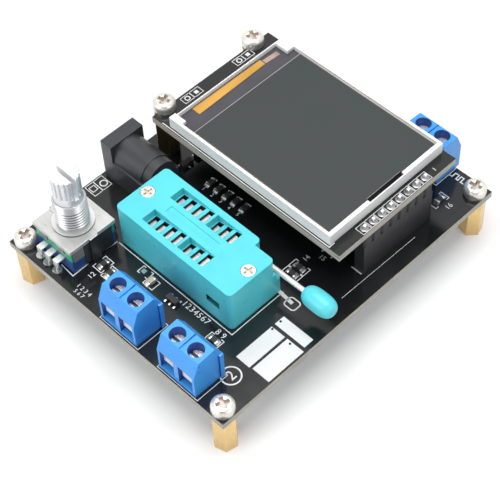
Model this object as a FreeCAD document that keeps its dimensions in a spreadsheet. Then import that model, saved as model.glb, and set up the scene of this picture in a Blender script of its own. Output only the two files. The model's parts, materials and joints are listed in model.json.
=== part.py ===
import FreeCAD, Part
import math
import os
import Sketcher
from types import SimpleNamespace
from FreeCAD import Placement, Rotation, Vector

# A bench component tester: an open circuit board on four hex feet, carrying a
# lever test socket, a rotary knob shaft, a power jack, three screw terminals and
# a colour display on a second board. Millimetres, +X right, +Y away, +Z up.
# The origin is on the feet plane, in the middle of the four feet.

# Driving sizes: name, value
SIZES = {
    # Main board and its hex feet
    "board_thickness": 1.6,
    "corner_inset": 2.5,
    "right_margin": 4.8,
    "back_margin": 7.2,
    "standoff_length": 10.0,
    "standoff_flats": 4.6,
    "front_left_turn": 12.0,
    "front_right_turn": 18.0,
    "back_right_turn": 48.0,
    "back_left_turn": 33.0,
    "post_turn": 20.0,
    # Pan head screws
    "screw_diameter": 3.0,
    "screw_length": 4.0,
    "screw_tip_gap": 0.2,
    "tapped_core": 1.25,
    "screw_hole_gap": 0.1,
    "thread_gap": 0.05,
    "head_diameter": 4.9,
    "head_height": 2.3,
    "head_round": 1.1,
    "cross_span": 2.8,
    "cross_width": 0.9,
    "cross_depth": 1.1,
    # Display board, its posts and its plug-in header
    "display_thickness": 1.6,
    "display_gap": 6.5,
    "post_left": 5.0,
    "post_edge_gap": 0.15,
    "post_front": 3.7,
    "post_spacing": 26.0,
    "pin_count": 8,
    "pin_pitch": 2.54,
    "pin_width": 0.64,
    "pin_above": 1.0,
    "pin_below": 6.0,
    "pin_edge": 1.2,
    "pin_front": 8.4,
    "pin_gap": 0.02,
    "strip_width": 2.5,
    "strip_height": 2.5,
    "socket_height": 8.5,
    "socket_cell": 1.3,
    "socket_floor": 0.4,
    "leaf_thickness": 0.2,
    "leaf_gap": 0.04,
    "leaf_height": 5.5,
    "tail_width": 0.6,
    "tail_length": 2.6,
    "pin_hole": 0.5,
    # Display module
    "lcd_width": 45.2,
    "lcd_depth": 32.95,
    "lcd_height": 2.8,
    "lcd_left_margin": 4.75,
    "lcd_right_margin": 3.1,
    "lcd_front_margin": 0.65,
    "lcd_back_margin": 0.6,
    "frame_left_step": 0.5,
    "frame_left_wall": 0.3,
    "frame_right_wall": 1.0,
    "frame_wall": 0.7,
    "frame_floor": 0.5,
    "frame_land_width": 3.3,
    "frame_land_depth": 1.75,
    "frame_tab_width": 3.8,
    "frame_tab_depth": 2.7,
    "frame_notch_front": 11.7,
    "frame_notch_length": 9.9,
    "frame_notch_depth": 1.0,
    "frame_notch_width": 0.7,
    "guide_height": 0.8,
    "glass_height": 0.55,
    "polarizer_height": 0.2,
    "glass_gap": 0.1,
    "ledge_width": 5.7,
    "flex_inset": 0.3,
    "flex_width": 2.2,
    "flex_height": 0.2,
    "flex_front_gap": 4.6,
    "flex_back_gap": 7.2,
    # Power jack
    "jack_inset": 1.0,
    "jack_length": 13.7,
    "jack_width": 9.0,
    "jack_height": 11.0,
    "jack_gap": 2.0,
    "jack_flange": 3.2,
    "jack_axis_height": 6.5,
    "jack_barrel_radius": 4.1,
    "jack_end_radius": 3.8,
    "jack_end_length": 2.2,
    "jack_base_height": 6.2,
    "jack_bore_radius": 3.15,
    "jack_bore_depth": 9.6,
    "jack_pin_radius": 1.0,
    "jack_pin_inset": 1.4,
    "jack_pin_gap": 0.02,
    "lug_thickness": 0.4,
    "lug_width": 2.6,
    "lug_length": 3.4,
    "lug_gap": 0.1,
    "sleeve_lug_place": 6.2,
    "sleeve_start": 3.4,
    "sleeve_width": 2.2,
    "switch_lug_place": 11.2,
    "switch_lug_height": 4.0,
    # Rotary encoder with push switch
    "encoder_left": 10.5,
    "encoder_front": 9.6,
    "encoder_width": 11.7,
    "encoder_depth": 12.0,
    "encoder_step": 0.3,
    "encoder_base_height": 3.4,
    "encoder_wafer_height": 2.8,
    "encoder_plate": 1.0,
    "encoder_wall": 1.1,
    "encoder_floor": 0.8,
    "encoder_lug_width": 2.1,
    "encoder_lug_length": 3.0,
    "encoder_lug_thickness": 0.5,
    "encoder_pin_width": 1.5,
    "encoder_pin_thickness": 0.4,
    "encoder_pin_reach": 1.6,
    "encoder_pin_pitch": 2.5,
    "encoder_pin_height": 3.3,
    "encoder_pin_apron": 1.9,
    "encoder_switch_pitch": 5.0,
    "bushing_radius": 3.5,
    "bushing_height": 7.6,
    "bushing_ring_radius": 4.4,
    "bushing_ring_height": 0.5,
    "thread_pitch": 0.75,
    "thread_depth": 0.3,
    "shaft_radius": 3.0,
    "shaft_height": 14.4,
    "shaft_fit": 0.05,
    "shaft_collar_radius": 3.7,
    "shaft_collar_height": 0.5,
    "shaft_collar_gap": 0.1,
    "shaft_drive": 3.0,
    "shaft_tip_gap": 0.05,
    "spline_count": 18,
    "spline_width": 0.5,
    "spline_depth": 0.35,
    "spline_length": 5.0,
    "shaft_slit": 1.0,
    "slit_depth": 5.6,
    "push_travel": 0.5,
    "rotor_gap": 0.1,
    "dome_height": 0.6,
    # Lever test socket
    "zif_gap": 1.7,
    "zif_front": 16.1,
    "zif_width": 32.6,
    "zif_depth": 14.0,
    "zif_split": 6.5,
    "zif_height": 11.0,
    "zif_corner": 1.0,
    "zif_notch_width": 5.4,
    "zif_notch_depth": 1.8,
    "zif_floor": 1.6,
    "zif_wall": 1.3,
    "zif_rows_apart": 7.62,
    "zif_pitch": 2.54,
    "zif_slots": 7,
    "zif_first_group": 4,
    "zif_first_slot": 7.5,
    "slot_width": 1.5,
    "slot_length": 3.2,
    "recess_deep": 3.0,
    "recess_shallow": 0.15,
    "recess_side": 0.15,
    "mid_panel_depth": 0.25,
    "mid_panel_width": 1.6,
    "contact_thickness": 0.7,
    "contact_width": 2.4,
    "contact_top_gap": 0.1,
    "contact_offset": 0.35,
    "contact_tail": 3.2,
    "contact_tail_width": 0.6,
    "contact_gap": 0.1,
    "slider_thickness": 1.8,
    "slider_lift": 2.4,
    "slider_gap": 0.12,
    "fork_wall": 0.9,
    "fork_gap": 0.06,
    "zif_screw_inset": 2.0,
    "zif_screw_radius": 0.9,
    "zif_screw_length": 7.6,
    "zif_head_radius": 1.5,
    "zif_head_height": 1.0,
    "zif_head_gap": 0.08,
    "zif_cross_width": 0.5,
    "zif_cross_depth": 0.5,
    "window_width": 3.6,
    "window_height": 1.9,
    "window_lift": 3.9,
    "window_depth": 3.2,
    "window_shift": 1.0,
    "pivot_inset": 4.0,
    "pivot_gap": 0.05,
    "lever_radius": 0.55,
    "lever_rise": 1.6,
    "lever_well": 2.4,
    "cam_radius": 1.0,
    "cam_offset": 0.7,
    "cam_width": 1.6,
    "cam_wall": 0.9,
    "knob_start": 11.1,
    "knob_length": 7.7,
    "knob_radius": 2.25,
    "knob_round": 1.8,
    "knob_socket": 5.0,
    "knob_fit": 0.02,
    # Screw terminals
    "terminal_pitch": 5.08,
    "terminal_depth": 7.4,
    "terminal_height": 10.0,
    "terminal_inset": 0.65,
    "terminal_right": 8.0,
    "terminal_spacing": 16.7,
    "back_terminal_right": 9.8,
    "back_terminal_overhang": 1.05,
    "terminal_face_height": 6.1,
    "terminal_brow": 1.5,
    "terminal_brow_drop": 0.3,
    "terminal_back_slope": 1.7,
    "terminal_back_height": 7.4,
    "terminal_rib": 0.45,
    "terminal_rib_depth": 1.0,
    "terminal_slit": 0.35,
    "terminal_front_wall": 0.8,
    "terminal_floor": 0.8,
    "terminal_mouth": 3.8,
    "terminal_mouth_height": 5.1,
    "pole_depth": 3.4,
    "cage_width": 3.6,
    "cage_depth": 4.4,
    "cage_nose": 0.3,
    "cage_bar": 1.3,
    "cage_wall": 0.6,
    "cage_roof": 0.7,
    "cage_gap": 0.15,
    "cage_travel": 1.2,
    "cage_lift": 0.1,
    "clamp_shank": 1.1,
    "clamp_head": 1.6,
    "clamp_head_height": 0.8,
    "clamp_gap": 0.06,
    "clamp_hole": 1.7,
    "clamp_neck": 0.5,
    "clamp_slot": 0.6,
    "clamp_slot_depth": 0.5,
    "strip_thickness": 0.6,
    "strip_half_width": 1.1,
    "strip_gap": 0.1,
    "solder_pin": 0.9,
    "solder_pin_length": 3.2,
    "solder_hole": 0.7,
    # Parts soldered on the main board
    "chip_left": 27.0,
    "chip_front": 54.0,
    "chip_width": 7.0,
    "chip_height": 1.0,
    "chip_lift": 0.1,
    "lead_count": 8,
    "lead_pitch": 0.8,
    "lead_width": 0.37,
    "lead_foot": 0.6,
    "lead_reach": 1.0,
    "lead_thickness": 0.15,
    "lead_rise": 0.6,
    "crystal_left": 41.0,
    "crystal_front": 48.0,
    "crystal_length": 11.0,
    "crystal_width": 4.6,
    "crystal_height": 3.5,
    "regulator_left": 13.0,
    "regulator_front": 55.0,
    "regulator_width": 4.5,
    "regulator_depth": 2.5,
    "regulator_height": 1.5,
    "regulator_tab": 0.4,
    "small_chip_width": 2.9,
    "small_chip_depth": 1.3,
    "small_chip_height": 1.0,
    "small_lead_width": 0.4,
    "small_lead_reach": 0.55,
    "reference_left": 49.5,
    "reference_front": 43.5,
    "transistor_left": 11.4,
    "transistor_front": 39.4,
    "transistor_spacing": 4.0,
    "guard_chip_left": 35.5,
    "guard_chip_front": 12.9,
    "resistor_length": 2.0,
    "resistor_width": 1.25,
    "resistor_height": 0.5,
    "probe_row_left": 18.8,
    "probe_row_front": 39.4,
    "probe_row_pitch": 2.54,
    "probe_row_count": 5,
    "knob_resistor_left": 18.6,
    "knob_resistor_front": 9.5,
    "knob_resistor_pitch": 2.7,
    "knob_resistor_step": 0.6,
    "front_resistor_left": 48.1,
    "front_resistor_front": 12.1,
    "pair_resistor_left": 47.8,
    "pair_resistor_front": 34.1,
    "pair_resistor_pitch": 2.1,
    "back_resistor_left": 56.6,
    "back_resistor_front": 68.9,
    "capacitor_length": 2.0,
    "capacitor_width": 1.25,
    "capacitor_height": 0.9,
    "capacitor_left": 20.0,
    "capacitor_front": 62.0,
    "capacitor_pitch": 4.0,
    "capacitor_count": 6,
    "guard_capacitor_left": 28.9,
    "guard_capacitor_front": 13.1,
}

doc = FreeCAD.newDocument("component_tester")
sheet = doc.addObject("Spreadsheet::Sheet", "Sizes")
for row, (alias, number) in enumerate(SIZES.items(), start=1):
    sheet.set(f"A{row}", alias.replace("_", " "))
    sheet.set(f"B{row}", str(number))
    sheet.setAlias(f"B{row}", alias)
doc.recompute()


class Size:
    """A length with its value and the formula over the sheet that gives it."""

    def __init__(self, value, formula):
        self.value = value
        self.formula = formula

    def __add__(self, other):
        other = as_size(other)
        return Size(self.value + other.value, f"({self.formula} + {other.formula})")

    def __sub__(self, other):
        other = as_size(other)
        return Size(self.value - other.value, f"({self.formula} - {other.formula})")

    def __mul__(self, factor):
        factor = as_size(factor)
        return Size(self.value * factor.value, f"({self.formula} * {factor.formula})")

    def __truediv__(self, divisor):
        divisor = as_size(divisor)
        return Size(self.value / divisor.value, f"({self.formula} / {divisor.formula})")

    def __neg__(self):
        return self * -1.0


def as_size(thing):
    """A plain number becomes a Size of its own."""
    if isinstance(thing, Size):
        return thing
    return Size(float(thing), str(float(thing)))


S = SimpleNamespace(**{alias: Size(float(sheet.get(alias)), "Sizes." + alias) for alias in SIZES})
NONE = as_size(0)
UPRIGHT = Rotation()
ALONG_X = Rotation(Vector(0, 1, 0), 90)
ALONG_Y = Rotation(Vector(1, 0, 0), -90)
parts = []


def count(size):
    """A Size that is a number of copies."""
    return int(round(size.value))


def bind(thing, **sizes):
    """Tie an object's properties to formulas over the sheet."""
    for name, size in sizes.items():
        thing.setExpression(name, as_size(size).formula)


def seat(thing, at, turn=UPRIGHT):
    """Turn an object and tie its place to three formulas."""
    thing.Placement = Placement(Vector(), turn)
    for axis, size in zip("xyz", at):
        thing.setExpression("Placement.Base." + axis, as_size(size).formula)
    return thing


def part(thing, label):
    """Take an object as a finished sub-part."""
    thing.Label = label
    parts.append(thing)
    return thing


# Solids from primitives


def block(name, *spans):
    """A box between two formulas along each axis, in either order."""
    spans = [sorted(map(as_size, pair), key=lambda size: size.value) for pair in spans]
    thing = doc.addObject("Part::Box", name)
    length, width, height = (high - low for low, high in spans)
    bind(thing, Length=length, Width=width, Height=height)
    return seat(thing, [low for low, high in spans])


def rod(name, at, radius, length, turn=UPRIGHT):
    """A cylinder that starts at a point and runs along its turned axis."""
    thing = doc.addObject("Part::Cylinder", name)
    bind(thing, Radius=radius, Height=length)
    return seat(thing, at, turn)


def fuse(name, *pieces):
    thing = doc.addObject("Part::MultiFuse", name)
    thing.Shapes = list(pieces)
    thing.Refine = True
    return thing


def cut(name, base, *tools):
    thing = doc.addObject("Part::Cut", name)
    thing.Base = base
    thing.Tool = tools[0] if len(tools) == 1 else fuse(name + "_tools", *tools)
    thing.Refine = True
    return thing


def group(label, pieces):
    """Separate solids that share one node."""
    thing = doc.addObject("Part::Compound", label)
    thing.Links = list(pieces)
    return part(thing, label)


def copies(name, master, places):
    """Links to one master at a list of (place, turn)."""
    links = []
    for at, turn in places:
        link = doc.addObject("App::Link", name)
        link.LinkedObject = master
        link.LinkTransform = False
        links.append(seat(link, at, turn))
    return links


# Solids from sketches


def new_body(label):
    return doc.addObject("PartDesign::Body", label)


def sketch_on(body, name, role, offset=NONE):
    """A sketch on one of the body's own planes, moved along the plane's normal."""
    sketch = body.newObject("Sketcher::SketchObject", name)
    plane = next(item for item in body.Origin.OriginFeatures if item.Role == role)
    sketch.AttachmentSupport = (plane, [""])
    sketch.MapMode = "FlatFace"
    sketch.setExpression("AttachmentOffset.Base.z", as_size(offset).formula)
    return sketch


def hold(sketch, kind, size, *where):
    """A driving dimension tied to a formula."""
    size = as_size(size)
    index = sketch.addConstraint(Sketcher.Constraint(kind, *where, size.value))
    sketch.setExpression(f"Constraints[{index}]", size.formula)


def outline(sketch, points):
    """A closed outline of straight lines through points given as formulas."""
    points = [(as_size(u), as_size(v)) for u, v in points]
    corners = [Vector(u.value, v.value, 0) for u, v in points]
    first = sketch.GeometryCount
    total = len(points)
    for index in range(total):
        sketch.addGeometry(Part.LineSegment(corners[index], corners[(index + 1) % total]), False)
    for index in range(total):
        following = first + (index + 1) % total
        sketch.addConstraint(Sketcher.Constraint("Coincident", first + index, 2, following, 1))
    for index, (u, v) in enumerate(points):
        hold(sketch, "DistanceX", u, -1, 1, first + index, 1)
        hold(sketch, "DistanceY", v, -1, 1, first + index, 1)


def rectangle(sketch, us, vs):
    outline(sketch, [(us[0], vs[0]), (us[1], vs[0]), (us[1], vs[1]), (us[0], vs[1])])


def circle(sketch, u, v, radius):
    u, v, radius = as_size(u), as_size(v), as_size(radius)
    ring = Part.Circle(Vector(u.value, v.value, 0), Vector(0, 0, 1), radius.value)
    index = sketch.addGeometry(ring, False)
    hold(sketch, "Radius", radius, index)
    hold(sketch, "DistanceX", u, -1, 1, index, 3)
    hold(sketch, "DistanceY", v, -1, 1, index, 3)


def feature(body, kind, sketch, backwards=False, **sizes):
    """A pad, pocket or other feature made from a sketch."""
    thing = body.newObject("PartDesign::" + kind, sketch.Name + "_" + kind.lower())
    thing.Profile = sketch
    thing.Reversed = backwards
    bind(thing, **sizes)
    return thing


def turned(body, sketch, kind="Revolution", axis="V_Axis"):
    thing = feature(body, kind, sketch)
    thing.ReferenceAxis = (sketch, [axis])
    return thing


def rounded(body, base, radius, chosen):
    """A fillet on the edges of a feature that a test picks."""
    doc.recompute()
    edges = [f"Edge{n}" for n, edge in enumerate(base.Shape.Edges, start=1) if chosen(edge)]
    thing = body.newObject("PartDesign::Fillet", base.Name + "_round")
    thing.Base = (base, edges)
    bind(thing, Radius=radius)
    return thing


def is_upright(edge):
    """A straight edge along Z."""
    ends = [vertex.Point for vertex in edge.Vertexes]
    return len(ends) == 2 and math.hypot(ends[0].x - ends[1].x, ends[0].y - ends[1].y) < 1e-6


def lies_at(height):
    """A test for edges that lie wholly at one height of their body."""
    return lambda edge: abs(edge.BoundBox.ZMin - height.value) < 1e-4 and edge.BoundBox.ZLength < 1e-4


# Places that several pieces share

DISPLAY_LEFT = S.post_left + S.post_edge_gap
DISPLAY_WIDTH = S.lcd_left_margin + S.lcd_width + S.lcd_right_margin
DISPLAY_DEPTH = S.lcd_front_margin + S.lcd_depth + S.lcd_back_margin
DISPLAY_FRONT = S.zif_front + S.zif_depth + S.display_gap
BOARD_WIDTH = DISPLAY_LEFT + DISPLAY_WIDTH + S.right_margin
BOARD_DEPTH = DISPLAY_FRONT + DISPLAY_DEPTH + S.back_margin
DECK = S.standoff_length + S.board_thickness
POST_LENGTH = S.socket_height + S.strip_height
DISPLAY_UNDER = DECK + POST_LENGTH
DISPLAY_TOP = DISPLAY_UNDER + S.display_thickness
SCREW_HOLE = S.screw_diameter / 2 + S.screw_hole_gap
TAPPED = S.screw_diameter / 2 + S.thread_gap


def across(size):
    """X of a place measured from the main board's left edge."""
    return size - BOARD_WIDTH / 2


def along(size):
    """Y of a place measured from the main board's front edge."""
    return size - BOARD_DEPTH / 2


CORNERS = [
    (S.corner_inset, S.corner_inset, S.front_left_turn),
    (BOARD_WIDTH - S.corner_inset, S.corner_inset, S.front_right_turn),
    (BOARD_WIDTH - S.corner_inset, BOARD_DEPTH - S.corner_inset, S.back_right_turn),
    (S.corner_inset, BOARD_DEPTH - S.corner_inset, S.back_left_turn),
]
CORNERS = [(across(x), along(y), turn) for x, y, turn in CORNERS]
POSTS = [(across(S.post_left), along(DISPLAY_FRONT + S.post_front + S.post_spacing * n)) for n in (0, 1)]
PIN_X = across(DISPLAY_LEFT + DISPLAY_WIDTH - S.pin_edge)
PIN_YS = [along(DISPLAY_FRONT + S.pin_front + S.pin_pitch * n) for n in range(count(S.pin_count))]

JACK_X = across(S.jack_inset)
JACK_Y = along(DISPLAY_FRONT - S.jack_gap - S.jack_width / 2)
JACK_Z = DECK + S.jack_axis_height
JACK_LUGS = [S.sleeve_lug_place, S.jack_length + S.lug_thickness / 2]

ENCODER_X = across(S.encoder_left)
ENCODER_Y = along(S.encoder_front)
ENCODER_HALF_X = S.encoder_width / 2
ENCODER_HALF_Y = S.encoder_depth / 2
ENCODER_TOP = DECK + S.encoder_base_height + S.encoder_wafer_height + S.encoder_plate
ENCODER_PIN_OUT = ENCODER_HALF_Y + S.encoder_pin_reach
ENCODER_PINS = [(S.encoder_pin_pitch * n, -1) for n in (-1, 0, 1)]
ENCODER_PINS += [(S.encoder_switch_pitch * n, 1) for n in (-0.5, 0.5)]

ZIF_LEFT = across(S.jack_inset + S.jack_length + S.zif_gap)
ZIF_RIGHT = ZIF_LEFT + S.zif_width
ZIF_FRONT = along(S.zif_front)
ZIF_BACK = ZIF_FRONT + S.zif_depth
ZIF_MIDDLE = ZIF_FRONT + S.zif_depth / 2
ZIF_SPLIT = DECK + S.zif_split
ZIF_TOP = DECK + S.zif_height
ZIF_ROWS = [ZIF_MIDDLE + S.zif_rows_apart * side for side in (-0.5, 0.5)]
ZIF_SLOTS = [ZIF_LEFT + S.zif_first_slot + S.zif_pitch * n for n in range(count(S.zif_slots))]
ZIF_CONTACTS = [x - S.contact_offset for x in ZIF_SLOTS]
PIVOT_X = ZIF_RIGHT - S.pivot_inset
PIVOT_Z = ZIF_SPLIT
NOTCH_X = ZIF_RIGHT - S.zif_notch_width
NOTCH_Y = ZIF_BACK - S.zif_notch_depth
LEVER_Y = ZIF_BACK - S.zif_notch_depth / 2
ZIF_SCREWS = [ZIF_LEFT + S.zif_screw_inset, ZIF_RIGHT - S.zif_screw_inset]
CAM_BACK = NOTCH_Y - S.cam_wall
CAM_FRONT = CAM_BACK - S.cam_width
CAM_SLANT = S.cam_offset / math.sqrt(2)
SLIDER_TRAVEL = CAM_SLANT * 2

TERMINAL_WIDTH = S.terminal_pitch * 2
FRONT_TERMINAL_Y = along(S.terminal_inset)
BACK_TERMINAL_Y = along(BOARD_DEPTH + S.back_terminal_overhang)
MIDDLE_TERMINAL_X = across(BOARD_WIDTH - S.terminal_right) - S.terminal_pitch
TERMINALS = [
    ("terminal_1", MIDDLE_TERMINAL_X - S.terminal_spacing, FRONT_TERMINAL_Y, 1),
    ("terminal_2", MIDDLE_TERMINAL_X, FRONT_TERMINAL_Y, 1),
    ("terminal_3", across(BOARD_WIDTH - S.back_terminal_right) - S.terminal_pitch, BACK_TERMINAL_Y, -1),
]
POLES = [("a", -0.5), ("b", 0.5)]
CAGE_EYE = S.strip_gap * 2 + S.strip_thickness + S.cage_travel
CAGE_HEIGHT = S.cage_bar + CAGE_EYE + S.cage_roof
STRIP_END = S.pole_depth + S.cage_depth / 2 + S.strip_gap + S.solder_pin
PIN_DEPTH = STRIP_END - S.solder_pin / 2


# Main board with every hole that a pin, lug or screw passes


def main_board():
    body = new_body("main_board")
    plan = sketch_on(body, "board_plan", "XY_Plane", S.standoff_length)
    rectangle(plan, (-BOARD_WIDTH / 2, BOARD_WIDTH / 2), (-BOARD_DEPTH / 2, BOARD_DEPTH / 2))
    feature(body, "Pad", plan, Length=S.board_thickness)
    screws = sketch_on(body, "screw_holes", "XY_Plane", DECK)
    for x, y in [corner[:2] for corner in CORNERS] + POSTS:
        circle(screws, x, y, SCREW_HOLE)
    feature(body, "Pocket", screws, Length=S.board_thickness)
    pins = sketch_on(body, "pin_holes", "XY_Plane", DECK)
    for y in PIN_YS:
        circle(pins, PIN_X, y, S.pin_hole)
    for y in ZIF_ROWS:
        for x in ZIF_CONTACTS:
            circle(pins, x, y, S.pin_hole)
    for x, side in ENCODER_PINS:
        circle(pins, ENCODER_X + x, ENCODER_Y + ENCODER_PIN_OUT * side, S.pin_hole)
    for name, x, y, facing in TERMINALS:
        for pole, side in POLES:
            circle(pins, x + S.terminal_pitch * side, y + PIN_DEPTH * facing, S.solder_hole)
    feature(body, "Pocket", pins, Length=S.board_thickness)
    slots = sketch_on(body, "lug_slots", "XY_Plane", DECK)
    half_lug = S.lug_width / 2 + S.lug_gap
    half_leaf = S.lug_thickness / 2 + S.lug_gap
    for place in JACK_LUGS:
        middle = JACK_X + place
        rectangle(slots, (middle - half_leaf, middle + half_leaf), (JACK_Y - half_lug, JACK_Y + half_lug))
    middle = JACK_X + S.switch_lug_place
    side = JACK_Y + S.jack_width / 2 + S.lug_thickness / 2
    rectangle(slots, (middle - half_lug, middle + half_lug), (side - half_leaf, side + half_leaf))
    half_lug = S.encoder_lug_width / 2 + S.lug_gap
    half_leaf = S.encoder_lug_thickness / 2 + S.lug_gap
    for side in (-1, 1):
        middle = ENCODER_X + (ENCODER_HALF_X + S.encoder_lug_thickness / 2) * side
        low, high = ENCODER_Y - half_lug, ENCODER_Y + half_lug
        rectangle(slots, (middle - half_leaf, middle + half_leaf), (low, high))
    feature(body, "Pocket", slots, Length=S.board_thickness)
    return part(body, "main_board")


# Hex feet, display posts and the screws that hold them


def hex_bar(name, x, y, low, length, turn):
    prism = doc.addObject("Part::Prism", name)
    prism.Polygon = 6
    bind(prism, Circumradius=S.standoff_flats / math.sqrt(3), Height=length)
    seat(prism, (x, y, low), Rotation(Vector(0, 0, 1), turn.value))
    return prism


def pan_screw():
    """One cross recessed screw whose head rests at height zero."""
    body = new_body("pan_screw")
    head = sketch_on(body, "screw_head", "XY_Plane")
    circle(head, NONE, NONE, S.head_diameter / 2)
    dome = feature(body, "Pad", head, Length=S.head_height)
    rounded(body, dome, S.head_round, lies_at(S.head_height))
    shank = sketch_on(body, "screw_shank", "XY_Plane")
    circle(shank, NONE, NONE, S.screw_diameter / 2)
    feature(body, "Pad", shank, backwards=True, Length=S.screw_length)
    cross = sketch_on(body, "screw_cross", "XY_Plane", S.head_height)
    far = S.cross_span / 2
    near = S.cross_width / 2
    outline(cross, [
        (far, -near), (far, near), (near, near), (near, far), (-near, far), (-near, near),
        (-far, near), (-far, -near), (-near, -near), (-near, -far), (near, -far), (near, -near),
    ])
    feature(body, "Pocket", cross, Length=S.cross_depth)
    return body


def fasteners():
    screw_room = S.screw_length - S.board_thickness + S.screw_tip_gap
    core_length = S.standoff_length - screw_room
    feet = []
    for x, y, turn in CORNERS:
        bar = hex_bar("foot_bar", x, y, NONE, S.standoff_length, turn)
        core = rod("foot_core", (x, y, NONE), S.tapped_core, core_length)
        room = rod("foot_screw_room", (x, y, core_length), TAPPED, screw_room)
        feet.append(cut("foot", bar, core, room))
    group("corner_standoffs", feet)
    posts = []
    for x, y in POSTS:
        bar = hex_bar("post_bar", x, y, DECK, POST_LENGTH, S.post_turn)
        posts.append(cut("post", bar, rod("post_bore", (x, y, DECK), TAPPED, POST_LENGTH)))
    group("display_posts", posts)
    screw = pan_screw()
    turns = [Rotation(Vector(0, 0, 1), angle) for angle in (20, 65, 10, 40)]
    places = [((x, y, DECK), turn) for (x, y, spare), turn in zip(CORNERS, turns)]
    places += [((x, y, DISPLAY_TOP), turn) for (x, y), turn in zip(POSTS, turns)]
    upside_down = Rotation(Vector(1, 0, 0), 180)
    places += [((x, y, S.standoff_length), upside_down) for x, y in POSTS]
    group("board_screws", copies("board_screw", screw, places))


# Display board, its header and its display module


def display_board():
    body = new_body("display_board")
    plan = sketch_on(body, "display_plan", "XY_Plane", DISPLAY_UNDER)
    left = across(DISPLAY_LEFT)
    front = along(DISPLAY_FRONT)
    rectangle(plan, (left, left + DISPLAY_WIDTH), (front, front + DISPLAY_DEPTH))
    feature(body, "Pad", plan, Length=S.display_thickness)
    holes = sketch_on(body, "display_holes", "XY_Plane", DISPLAY_TOP)
    for x, y in POSTS:
        circle(holes, x, y, SCREW_HOLE)
    for y in PIN_YS:
        circle(holes, PIN_X, y, S.pin_hole)
    feature(body, "Pocket", holes, Length=S.display_thickness)
    return part(body, "display_board")


def display_header():
    half = S.strip_width / 2
    front = PIN_YS[0] - S.pin_pitch / 2
    back = PIN_YS[-1] + S.pin_pitch / 2
    xs = (PIN_X - half, PIN_X + half)
    seam = DECK + S.socket_height
    strip = block("strip_block", xs, (front, back), (seam, DISPLAY_UNDER))
    socket = block("socket_block", xs, (front, back), (DECK, seam))
    half_pin = S.pin_width / 2
    half_hole = half_pin + S.pin_gap
    half_cell = S.socket_cell / 2
    half_tail = S.tail_width / 2
    pins, holes, cells, contacts = [], [], [], []
    for y in PIN_YS:

        def square(name, reach, zs):
            return block(name, (PIN_X - reach, PIN_X + reach), (y - reach, y + reach), zs)

        pins.append(square("pin", half_pin, (seam - S.pin_below, DISPLAY_TOP + S.pin_above)))
        holes.append(square("strip_hole", half_hole, (seam, DISPLAY_UNDER)))
        cells.append(square("cell", half_cell, (DECK + S.socket_floor, seam)))
        cells.append(square("cell_tail", half_tail + S.pin_gap, (DECK, DECK + S.socket_floor)))
        floor = DECK + S.socket_floor
        pieces = [square("tail", half_tail, (S.standoff_length + S.board_thickness - S.tail_length, floor))]
        inner = half_pin + S.leaf_gap
        outer = inner + S.leaf_thickness
        ys = (y - half_tail, y + half_tail)
        pieces.append(block("bridge", (PIN_X - outer, PIN_X + outer), ys, (floor, floor + S.leaf_thickness)))
        for side in (-1, 1):
            spring_xs = (PIN_X + inner * side, PIN_X + outer * side)
            pieces.append(block("leaf", spring_xs, ys, (floor, floor + S.leaf_height)))
        contacts.append(fuse("socket_contact", *pieces))
    group("display_header_pins", pins)
    part(cut("display_header_strip", strip, *holes), "display_header_strip")
    part(cut("display_socket", socket, *cells), "display_socket")
    group("display_socket_contacts", contacts)


def display_module():
    left = across(DISPLAY_LEFT) + S.lcd_left_margin
    right = left + S.lcd_width
    front = along(DISPLAY_FRONT) + S.lcd_front_margin
    back = front + S.lcd_depth
    top = DISPLAY_TOP + S.lcd_height
    lip = left + S.frame_left_step
    inner_left = lip + S.frame_left_wall
    inner_right = right - S.frame_right_wall
    inner_front = front + S.frame_wall
    inner_back = back - S.frame_wall
    tray = DISPLAY_TOP + S.frame_floor
    shell = block("frame_shell", (lip, right), (front, back), (DISPLAY_TOP, top))
    well = block("frame_well", (inner_left, inner_right), (inner_front, inner_back), (tray, top))
    notch_front = front + S.frame_notch_front
    notch_ys = (notch_front, notch_front + S.frame_notch_length)
    notch_xs = (inner_right, inner_right + S.frame_notch_width)
    notch = block("frame_notch", notch_xs, notch_ys, (top - S.frame_notch_depth, top))
    guide_top = tray + S.guide_height
    rear_top = guide_top + S.glass_height
    land_ys = (front, front + S.frame_land_depth)
    corner = block("frame_corner", (left, inner_left), land_ys, (DISPLAY_TOP, top))
    land = block("frame_land", (left, left + S.frame_land_width), land_ys, (rear_top, top))
    tab_ys = (back - S.frame_tab_depth, back)
    tab = block("frame_tab", (lip, lip + S.frame_tab_width), tab_ys, (rear_top, top))
    part(fuse("lcd_frame", cut("frame_tray", shell, well, notch), corner, land, tab), "lcd_frame")
    xs = (inner_left + S.glass_gap, inner_right - S.glass_gap)
    ys = (inner_front + S.glass_gap, inner_back - S.glass_gap)
    front_top = rear_top + S.glass_height
    front_xs = (xs[0] + S.ledge_width, xs[1])
    part(block("lcd_light_guide", xs, ys, (tray, guide_top)), "lcd_light_guide")
    part(block("lcd_rear_glass", xs, ys, (guide_top, rear_top)), "lcd_rear_glass")
    part(block("lcd_front_glass", front_xs, ys, (rear_top, front_top)), "lcd_front_glass")
    film = (front_top, front_top + S.polarizer_height)
    part(block("lcd_polarizer", front_xs, ys, film), "lcd_polarizer")
    flex_xs = (xs[0] + S.flex_inset, xs[0] + S.flex_inset + S.flex_width)
    flex_ys = (ys[0] + S.flex_front_gap, ys[1] - S.flex_back_gap)
    part(block("lcd_flex", flex_xs, flex_ys, (rear_top, rear_top + S.flex_height)), "lcd_flex")


# Power jack, its mouth towards the left edge


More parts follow.
